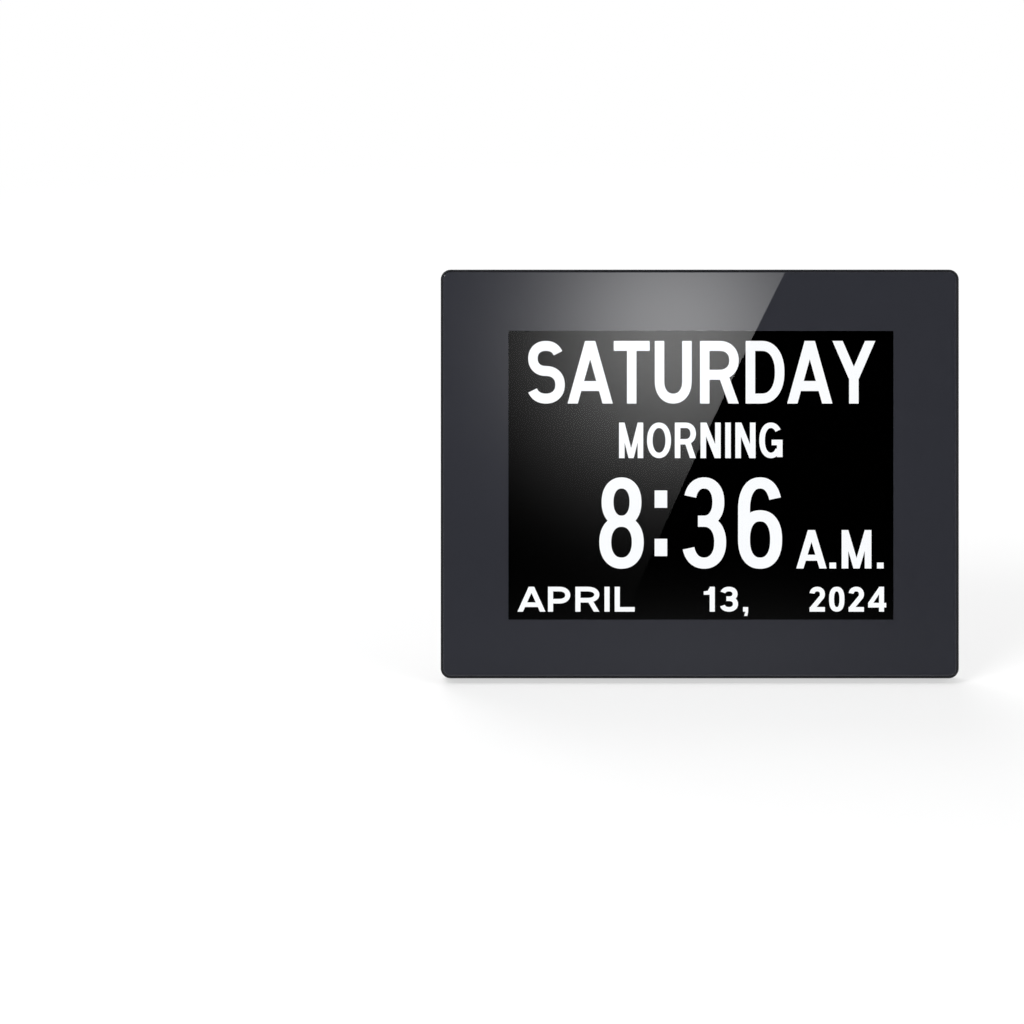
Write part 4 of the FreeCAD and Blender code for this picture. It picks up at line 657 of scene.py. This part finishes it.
def lettering(name, words, box, pens, depth, body, material, read="front"):
    """Words as one flat closed mesh that fills box = (x0, x1, z0, z1) mm: the letters are widened
    or narrowed by one factor until the line is as wide as the box, while stems and bars keep pens.
    They are read from the "front", from the "rear", or "down" the rear with their tops away from
    +x."""
    x0, x1, z0, z1 = box if read != "down" else (box[2], box[3], box[0], box[1])
    tall = z1 - z0
    a, b = pens[0] / 2 / tall, pens[1] / 2 / tall
    wide = np.array([LETTER_WIDTH.get(c, 0.0) for c in words])
    own = np.array([2 * a if c in PEN_WIDE else 0.0 for c in words])
    side = np.array([SIDE_SPACE.get(c, PLAIN_SPACE) for c in words])
    gaps = np.append(side[:-1] + side[1:], 0.0)
    share = ((x1 - x0) / tall - own.sum()) / max(wide.sum() + gaps.sum(), 1e-9)
    widths = wide * share + own
    starts = np.concatenate([[0], np.cumsum(widths + gaps * share)[:-1]])
    outlines = [
        shape + [start, 0]
        for char, width, start in zip(words, widths, starts)
        for shape in letter(char, width, a, b)
    ]
    points, triangles = union_of(outlines)
    points = points * tall
    points = {
        "front": [x0 + points[:, 0], z0 + points[:, 1]],
        "rear": [x1 - points[:, 0], z0 + points[:, 1]],
        "down": [z1 - points[:, 1], x1 - points[:, 0]],
    }[read]
    points = np.stack(points, 1)
    solid, faces = slab(points, triangles, *depth)
    return piece(name, solid, faces, body, [material])


# ------------------------------------------------------------------ operators
class DAYCLOCK_OT_finishes(bpy.types.Operator):
    """Give every piece of the frame its own finish"""

    bl_idname = "dayclock.finishes"
    bl_label = "Finishes"

    def execute(self, context):
        made = finishes()
        for part in RECORD["subparts"]:
            surface = NODES[part["node"]].data.materials
            surface.clear()
            surface.append(made[part["material_slot"]])
        return {"FINISHED"}


class DAYCLOCK_OT_front_panel(bpy.types.Operator):
    """Build the glossy panel with its printed border and clear window"""

    bl_idname = "dayclock.front_panel"
    bl_label = "Front panel"

    def execute(self, context):
        settings = context.scene.dayclock_panel
        r = settings.edge_round
        corner = 0.25  # mm, of the printed window
        window = rounded_rectangle(
            SCREEN_X, SCREEN_Z, settings.window_width, settings.window_height, corner
        )

        def edge(inset):
            return rounded_rectangle(
                0, CASE_H / 2, PANEL_W - 2 * inset, PANEL_H - 2 * inset, PANEL_R - inset
            )

        turns = np.linspace(0, np.pi / 2, 5)
        rings = [
            (window, PANEL_BACK),
            (window, PRINT_BACK),
            (edge(r / 2), PRINT_BACK),
            (edge(0), PRINT_BACK - r / 2),
            *[(edge(r * (1 - np.cos(t))), r * (1 - np.sin(t))) for t in turns],
            (window, 0.0),
        ]
        points = np.concatenate([np.insert(ring, 1, y, axis=1) for ring, y in rings])
        faces = lofted([ring for ring, _ in rings])
        looks = [back_printed_acrylic(settings.ink), acrylic_window(), window_back()]
        look_of = [2] + [0] * (len(faces) - 2) + [1]  # the back of the window, the rest, its front
        made = piece(
            "printed_front_panel", points, faces, "case", looks, look_of
        )
        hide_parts("front_panel", "panel_border_print")
        return {"FINISHED"}


class DAYCLOCK_OT_display(bpy.types.Operator):
    """Set the lit lines of the display"""

    bl_idname = "dayclock.display"
    bl_label = "Display lines"

    def execute(self, context):
        words = context.scene.dayclock_display
        lit = lit_pixels(words.brightness)
        lines = [  # piece, words, (x0, x1, z0, z1), (stem, bar), all mm
            ("display_day", words.day, (-72.7, 74.1, 115.7, 142.1), (4.0, 4.2)),
            ("display_part_of_day", words.part, (-33.9, 35.0, 92.7, 107.7), (2.35, 2.3)),
            ("display_hour", words.hour, (-42.2, -23.5, 46.1, 84.6), (5.0, 4.7)),
            ("display_colon", ":", (-18.9, -13.6, 46.1, 84.6), (5.3, 7.3)),
            ("display_minute", words.minute, (-7.3, 34.8, 46.1, 84.6), (5.0, 4.7)),
            ("display_half_of_day", words.half, (40.8, 77.6, 46.2, 62.4), (2.8, 2.5)),
            ("display_month", words.month, (-76.7, -27.3, 28.0, 38.5), (2.15, 1.95)),
            ("display_date", words.date, (1.8, 20.5, 28.0, 38.5), (2.15, 1.95)),
            ("display_year", words.year, (46.4, 78.7, 28.0, 38.5), (2.1, 1.95)),
        ]
        depth = (2.96, 2.99)  # mm, just in front of the polariser
        for name, text, box, pens in lines:
            lettering(name, text, box, pens, depth, "case", lit)
        return {"FINISHED"}


class DAYCLOCK_OT_key_legends(bpy.types.Operator):
    """Print the marks on the keys"""

    bl_idname = "dayclock.key_legends"
    bl_label = "Key legends"

    def execute(self, context):
        settings = context.scene.dayclock_legends
        ink = printed_ink("pad_printed_white", settings.ink, 0.5)
        deep = printed_ink("pad_printed_black", "#050506", 0.6, "#0b0b0d", 0.15)
        face = (KEY_FACE - 0.01, KEY_FACE + settings.thickness)
        under = (KEY_FACE - 0.01, KEY_FACE + settings.thickness / 2)

        def mark(name, outlines, depth, body, material):
            """Joins overlapping outlines into one flat closed mark."""
            solid, faces = slab(*union_of(outlines), *depth)
            return piece(name, solid, faces, body, [material])

        def ring(cx, cz, radius, line, start=0, end=360):
            """Two overlapping arcs that make a closed circle, or one open arc."""
            spans = [(start, end)] if end - start < 360 else [(0, 185), (180, 365)]
            arcs = [arc(cx, cz, radius, radius, s, e, 2.0, 32) for s, e in spans]
            return [stroke([path], line / 2, line / 2) for path in arcs]

        power = np.array([KEYPAD_X, POWER_Z - POWER_LOW])
        bar = rectangle(-0.28, 0.28, 0.0, 3.25) + power
        circle = ring(*power, 3.2, 0.52, 127, 413)
        mark("power_mark", [*circle, bar], face, "power_key", ink)
        arrow = [  # shaft and two barbs, mm from the middle of its circle
            stroke([line], 0.3, 0.3)
            for line in ([[0, -2.4], [0, 2.1]], [[-2.05, 0.1], [0, 2.15]], [[2.05, 0.1], [0, 2.15]])
        ]
        radius = 3.28
        circles, discs, arrows = [], [], []
        for turn in np.arange(4) * np.pi / 2:
            out = np.array([-np.sin(turn), np.cos(turn)])
            spin = np.array([[np.cos(turn), np.sin(turn)], [-np.sin(turn), np.cos(turn)]])
            centre = np.array([KEYPAD_X, NAV_Z - ARROWS_LOW]) + ARROW_RADIUS * out
            circles += ring(*centre, radius, 0.5)
            discs.append(arc(*centre, radius, radius, 0, 352, 2.0, 45))
            arrows += [line @ spin + centre for line in arrow]
        mark("arrow_grounds", discs, under, "arrow_ring", deep)
        mark("arrow_marks", circles + arrows, face, "arrow_ring", ink)

        strip = (PORT_STRIP_FLOOR - 0.01, PORT_STRIP_FLOOR + settings.thickness)
        ok_box = (KEYPAD_X - 3.6, KEYPAD_X + 4.2, NAV_Z - 1.75, NAV_Z + 2.25)
        menu_box = (KEYPAD_X - 4.1, KEYPAD_X + 4.1, MENU_Z - 1.25, MENU_Z + 1.15)
        data_box, socket_box = (88.9, 90.5, 68.0, 81.8), (88.9, 90.5, 45.8, 54.6)
        for name, words, box, pens, depth, body, read in (
            ("ok_mark", "OK", ok_box, (0.54, 0.5), face, "ok_key", "rear"),
            ("menu_mark", "MENU", menu_box, (0.37, 0.35), face, "menu_key", "rear"),
            ("data_mark", "DATA PORT", data_box, (0.32, 0.32), strip, "case", "down"),
            ("socket_mark", "DC 5V", socket_box, (0.34, 0.34), strip, "case", "down"),
        ):
            lettering(name, words, box, pens, depth, body, ink, read)
        return {"FINISHED"}


class DAYCLOCK_OT_label(bpy.types.Operator):
    """Rule the blank label"""

    bl_idname = "dayclock.label"
    bl_label = "Label rulings"

    def execute(self, context):
        ink = printed_ink("label_grey_ink", "#55565a", 0.45)
        depth = (LABEL_FACE - 0.01, LABEL_FACE + 0.02)
        reach = LABEL_W / 2 - 4  # mm, half the length of a rule
        lines = [
            rectangle(LABEL_X - reach, LABEL_X + reach, LABEL_Z + z - 0.12, LABEL_Z + z + 0.12)
            for z in (8.0, 2.6, -2.8, -8.2)
        ]
        outer = rounded_rectangle(LABEL_X, LABEL_Z, LABEL_W - 2.2, LABEL_H - 2.2, 1.4)
        inner = rounded_rectangle(LABEL_X, LABEL_Z, LABEL_W - 2.7, LABEL_H - 2.7, 1.2)
        count = len(outer)
        rings = [(inner, depth[0]), (outer, depth[0]), (outer, depth[1]), (inner, depth[1])]
        points = np.concatenate([np.insert(ring, 1, y, axis=1) for ring, y in rings])
        at = np.arange(count)
        nxt = (at + 1) % count
        quads = [
            np.stack([i * count + at, i * count + nxt, j * count + nxt, j * count + at], 1)
            for i, j in ((0, 1), (1, 2), (2, 3), (3, 0))
        ]
        faces = np.concatenate(quads).tolist()
        piece("label_border_line", points, faces, "case", [ink])
        solid, faces = slab(*union_of(lines), *depth)
        piece("label_rulings", solid, faces, "case", [ink])
        return {"FINISHED"}


class DAYCLOCK_OT_tray_shade_and_light(bpy.types.Operator):
    """Lay black sheets as painted shade and a white strip as painted light on the display's metal back, where the
    vents look
    """

    bl_idname = "dayclock.tray_film"
    bl_label = "Tray shade and light"

    def execute(self, context):
        # black sheet as painted shade where the vents and the bed's slots look in: dull black with a faint paler
        # sheen
        black = moulded("painted_shade_film", "#0c0c0d", "#161617", 0.55, 0.6, 0.003)
        # white sheet as painted light: pale and dry, it shows low in some slots of the stand's bed
        white = moulded("painted_light_sheet", "#f0f1f3", "#f8f8f8", 0.5, 0.6, 0.003)
        depth = (TRAY_BACK + 0.01, TRAY_BACK + 0.08)
        sheets = [  # x0, x1, z0, z1 mm: one behind the upper vents, two behind the stand's bed
            (-80.0, 81.0, 126.0, 155.5),
            (12.7, 81.0, 15.5, 28.9),
            (-80.0, -5.7, 15.5, 28.9),
        ]
        painted_light_patches = [(-5.7, 12.7, 15.5, 27.4)]
        # the black sheets paint shade behind the vents and the bed's slots; the white strip paints light low in
        # some of the bed's slots
        for name, cuts, slot, film in (
            ("tray_painted_shade_film", sheets, "black_ink", black),
            ("tray_painted_light_sheet", painted_light_patches, "label_film", white),
        ):
            solid, faces = slab(*union_of([rectangle(*cut) for cut in cuts]), *depth)
            piece(name, solid, faces, "case", [film])
        return {"FINISHED"}


class DAYCLOCK_OT_studio(bpy.types.Operator):
    """Set the camera, the lamps, the floor and the card that the panel mirrors"""

    bl_idname = "dayclock.studio"
    bl_label = "Studio"

    def execute(self, context):
        settings = context.scene.dayclock_studio
        camera(context, settings)
        light_card(context, settings)
        floor(context, settings)
        sky(context, settings)
        lamps(context)
        return {"FINISHED"}


# ------------------------------------------------------------------ studio
FOOT = np.array([-79.0, 0.0, 70.0])  # where the camera's axis meets the panel, mm
CARD_DISTANCE = 2.3  # metres in front of the panel, behind the camera
CARD_SPAN = -190.0, 210.0, -90.0, 260.0  # x0, x1, z0, z1 of what the card covers, panel mm
MAP = 100.0  # panel millimetres to one unit of the card's UV map


def camera(context, settings):
    """A camera square to the panel."""
    data = bpy.data.cameras.new("studio_camera")
    data.lens, data.sensor_width = settings.lens, 36.0
    data.clip_start, data.clip_end = 0.05, 60.0
    made = bpy.data.objects.new("studio_camera", data)
    back = Vector(REAR)
    made.location = Vector(placed([FOOT])[0]) - back * settings.camera_distance
    made.rotation_mode = "QUATERNION"
    made.rotation_quaternion = back.to_track_quat("-Z", "Y")
    context.scene.collection.objects.link(made)
    context.scene.camera = made


def light_card(context, settings):
    """A softly lit card behind the camera that the panel mirrors. A point p of the panel mirrors
    the card at foot + (p - foot)(1 + card distance / camera distance), so the card's map is in
    the panel's millimetres."""
    reach = 1 + CARD_DISTANCE / settings.camera_distance
    corners = np.insert(rectangle(*CARD_SPAN), 1, 0.0, axis=1)
    spread = FOOT + (corners - FOOT) * reach
    spread[:, 1] = -CARD_DISTANCE / MM
    mesh = bpy.data.meshes.new("light_card")
    mesh.from_pydata(placed(spread).tolist(), [], [[0, 1, 2, 3]])
    uv = mesh.uv_layers.new(name="panel_mm")
    uv.data.foreach_set("uv", (corners[:, [0, 2]] / MAP).ravel())
    material, tree = new_material("light_card")
    where = add(tree, "TexCoord", out="UV")

    def glow(cx, cz, wx, wz, strength):
        """Radiance strength e^-(((x - cx)/wx)^2 + ((z - cz)/wz)^2), lengths in panel mm."""
        middle, width = (cx / MAP, cz / MAP, 0), (MAP / wx, MAP / wz, 0)
        off = add(tree, "VectorMath", {0: where, 1: middle}, operation="SUBTRACT")
        off = add(tree, "VectorMath", {0: off, 1: width}, operation="MULTIPLY")
        far = add(tree, "VectorMath", {0: off, 1: off}, "Value", operation="DOT_PRODUCT")
        fall = add(tree, "Math", {0: 1 / np.e, 1: far}, operation="POWER")
        return add(tree, "Math", {0: fall, 1: strength}, operation="MULTIPLY")

    # the card's cut edge: x = 36.6 - 0.507 d + 0.0285 d^2 / 100 mm at d mm below the case's top
    at = add(tree, "SeparateXYZ", {0: where}).node.outputs
    down = add(tree, "Math", {0: CASE_H / MAP, 1: at["Y"]}, operation="SUBTRACT")
    edge = add(tree, "Math", {0: down, 1: 0.0285, 2: -0.507}, operation="MULTIPLY_ADD")
    edge = add(tree, "Math", {0: edge, 1: down, 2: 0.366}, operation="MULTIPLY_ADD")
    past = add(tree, "Math", {0: edge, 1: at["X"]}, operation="SUBTRACT")
    inside = add(tree, "MapRange", {"Value": past, "From Min": 0.0, "From Max": 0.003})
    upper = glow(-10.5, 147.0, 50.0, 49.0, 4.6)
    upper = add(tree, "Math", {0: upper, 1: inside}, operation="MULTIPLY")
    both = add(tree, "Math", {0: upper, 1: glow(0.0, 10.0, 90.0, 22.0, 0.18)}, operation="ADD")
    light = add(tree, "Emission", {"Color": (1, 1, 1, 1), "Strength": both})
    mesh.materials.append(finished(material, tree, light))
    card = bpy.data.objects.new("light_card", mesh)
    context.scene.collection.objects.link(card)
    card.visible_camera = card.visible_diffuse = card.visible_shadow = False
    card.visible_transmission = card.visible_volume_scatter = False


def floor(context, settings):
    """A pale floor that keeps the soft shadow near the object and is lifted to white far off."""
    half = settings.floor_size / 2
    mesh = bpy.data.meshes.new("floor")
    corners = np.insert(rectangle(-half, half, -half, half), 2, 0.0, axis=1)
    mesh.from_pydata(corners.tolist(), [], [[0, 1, 2, 3]])
    material, tree = new_material("pale_floor")
    path = add(tree, "LightPath").node.outputs
    seen = path["Is Camera Ray"]
    for ray in ("Is Glossy Ray", "Is Transmission Ray"):
        seen = add(tree, "Math", {0: seen, 1: path[ray]}, operation="MAXIMUM")
    ends = {6: linear("#ebebeb"), 7: linear("#eeeeee")}
    paper = add(tree, "Mix", {0: grain_at(tree, 400.0), **ends}, 2, data_type="RGBA")
    matt = add(tree, "BsdfDiffuse", {"Color": paper})
    lift = add(tree, "Emission", {"Color": (1, 1, 1, 1), "Strength": 1.0})
    place = add(tree, "TexCoord", out="Object")
    away = add(tree, "VectorMath", {0: place}, "Value", operation="LENGTH")
    rise = {"From Min": 0.3, "From Max": 1.1, "To Min": 0.6}  # metres, and the share of white
    white = add(tree, "MapRange", {"Value": away, **rise})
    share = add(tree, "Math", {0: seen, 1: white}, operation="MULTIPLY")
    surface = add(tree, "MixShader", {0: share, 1: matt, 2: lift})
    mesh.materials.append(finished(material, tree, surface))
    made = bpy.data.objects.new("floor", mesh)
    context.scene.collection.objects.link(made)


def sky(context, settings):
    """An even dim dome that is white where the camera sees it, and white near the horizon where a
    shiny surface mirrors it."""
    world = bpy.data.worlds.new("studio_sky")
    context.scene.world = world
    world.use_nodes = True
    tree = world.node_tree
    tree.nodes.clear()
    path = add(tree, "LightPath").node.outputs
    rays = {0: path["Is Glossy Ray"], 1: path["Is Transmission Ray"]}
    mirrored = add(tree, "Math", rays, operation="MAXIMUM")
    height = add(tree, "SeparateXYZ", {0: add(tree, "TexCoord", out="Generated")}, "Z")
    low = add(tree, "MapRange", {"Value": height, "From Min": 0.34, "From Max": 0.10})
    levels = {"From Min": -0.1, "To Min": settings.sky * 0.8, "To Max": settings.sky}
    dome = add(tree, "MapRange", {"Value": height, **levels})
    band = add(tree, "Math", {0: mirrored, 1: low}, operation="MULTIPLY")
    white = add(tree, "Math", {0: path["Is Camera Ray"], 1: band}, operation="MAXIMUM")
    strength = add(tree, "Mix", {0: white, 2: dome, 3: 1.0}, data_type="FLOAT")
    light = add(tree, "Background", {"Color": (1, 1, 1, 1), "Strength": strength})
    add(tree, "OutputWorld", {"Surface": light})


def lamps(context):
    """Broad soft lamps round the object, each aimed at it."""
    aim = Vector((0.0, 0.0, 0.09))
    rigs = [  # name, place and width in metres, power in watts
        ("key_lamp", (-0.75, -0.86, 1.13), 0.7, 15.0),
        ("fill_lamp", (1.7, -1.1, 1.2), 1.4, 18.0),
        ("back_lamp", (-0.35, 1.15, 1.25), 1.0, 20.0),
        ("top_lamp", (0.6, 0.5, 2.2), 1.2, 8.0),
    ]
    for name, place, width, power in rigs:
        data = bpy.data.lights.new(name, "AREA")
        data.shape, data.size, data.energy = "SQUARE", width, power
        lamp = bpy.data.objects.new(name, data)
        lamp.location = place
        lamp.rotation_mode = "QUATERNION"
        lamp.rotation_quaternion = (aim - Vector(place)).to_track_quat("-Z", "Y")
        lamp.visible_camera = False
        context.scene.collection.objects.link(lamp)


# ------------------------------------------------------------------ sidebar and registration
class DAYCLOCK_PT_sidebar(bpy.types.Panel):
    """Lists the builders of the clock's pieces"""

    bl_label = "Day Clock"
    bl_idname = "DAYCLOCK_PT_sidebar"
    bl_space_type = "VIEW_3D"
    bl_region_type = "UI"
    bl_category = "Day Clock"

    def draw(self, context):
        for group in GROUPS:
            settings = getattr(context.scene, group)
            box = self.layout.box()
            for name in settings.bl_rna.properties.keys():
                if name not in {"rna_type", "name"}:
                    box.prop(settings, name)
        for operator in OPERATORS:
            self.layout.operator(operator.bl_idname)


OPERATORS = (
    DAYCLOCK_OT_studio,
    DAYCLOCK_OT_finishes,
    DAYCLOCK_OT_front_panel,
    DAYCLOCK_OT_display,
    DAYCLOCK_OT_key_legends,
    DAYCLOCK_OT_label,
    DAYCLOCK_OT_tray_shade_and_light,
)
GROUPS = {
    "dayclock_panel": DAYCLOCK_PG_panel,
    "dayclock_display": DAYCLOCK_PG_display,
    "dayclock_legends": DAYCLOCK_PG_legends,
    "dayclock_studio": DAYCLOCK_PG_studio,
}


def register():
    for group, kind in GROUPS.items():
        bpy.utils.register_class(kind)
        setattr(bpy.types.Scene, group, bpy.props.PointerProperty(type=kind))
    for kind in (*OPERATORS, DAYCLOCK_PT_sidebar):
        bpy.utils.register_class(kind)


def unregister():
    for kind in reversed((*OPERATORS, DAYCLOCK_PT_sidebar)):
        bpy.utils.unregister_class(kind)
    for group, kind in GROUPS.items():
        delattr(bpy.types.Scene, group)
        bpy.utils.unregister_class(kind)


def main():
    register()
    bpy.context.scene.view_settings.view_transform = "Standard"
    for operator in OPERATORS:
        group, name = operator.bl_idname.split(".")
        getattr(getattr(bpy.ops, group), name)()


if __name__ == "__main__":
    main()
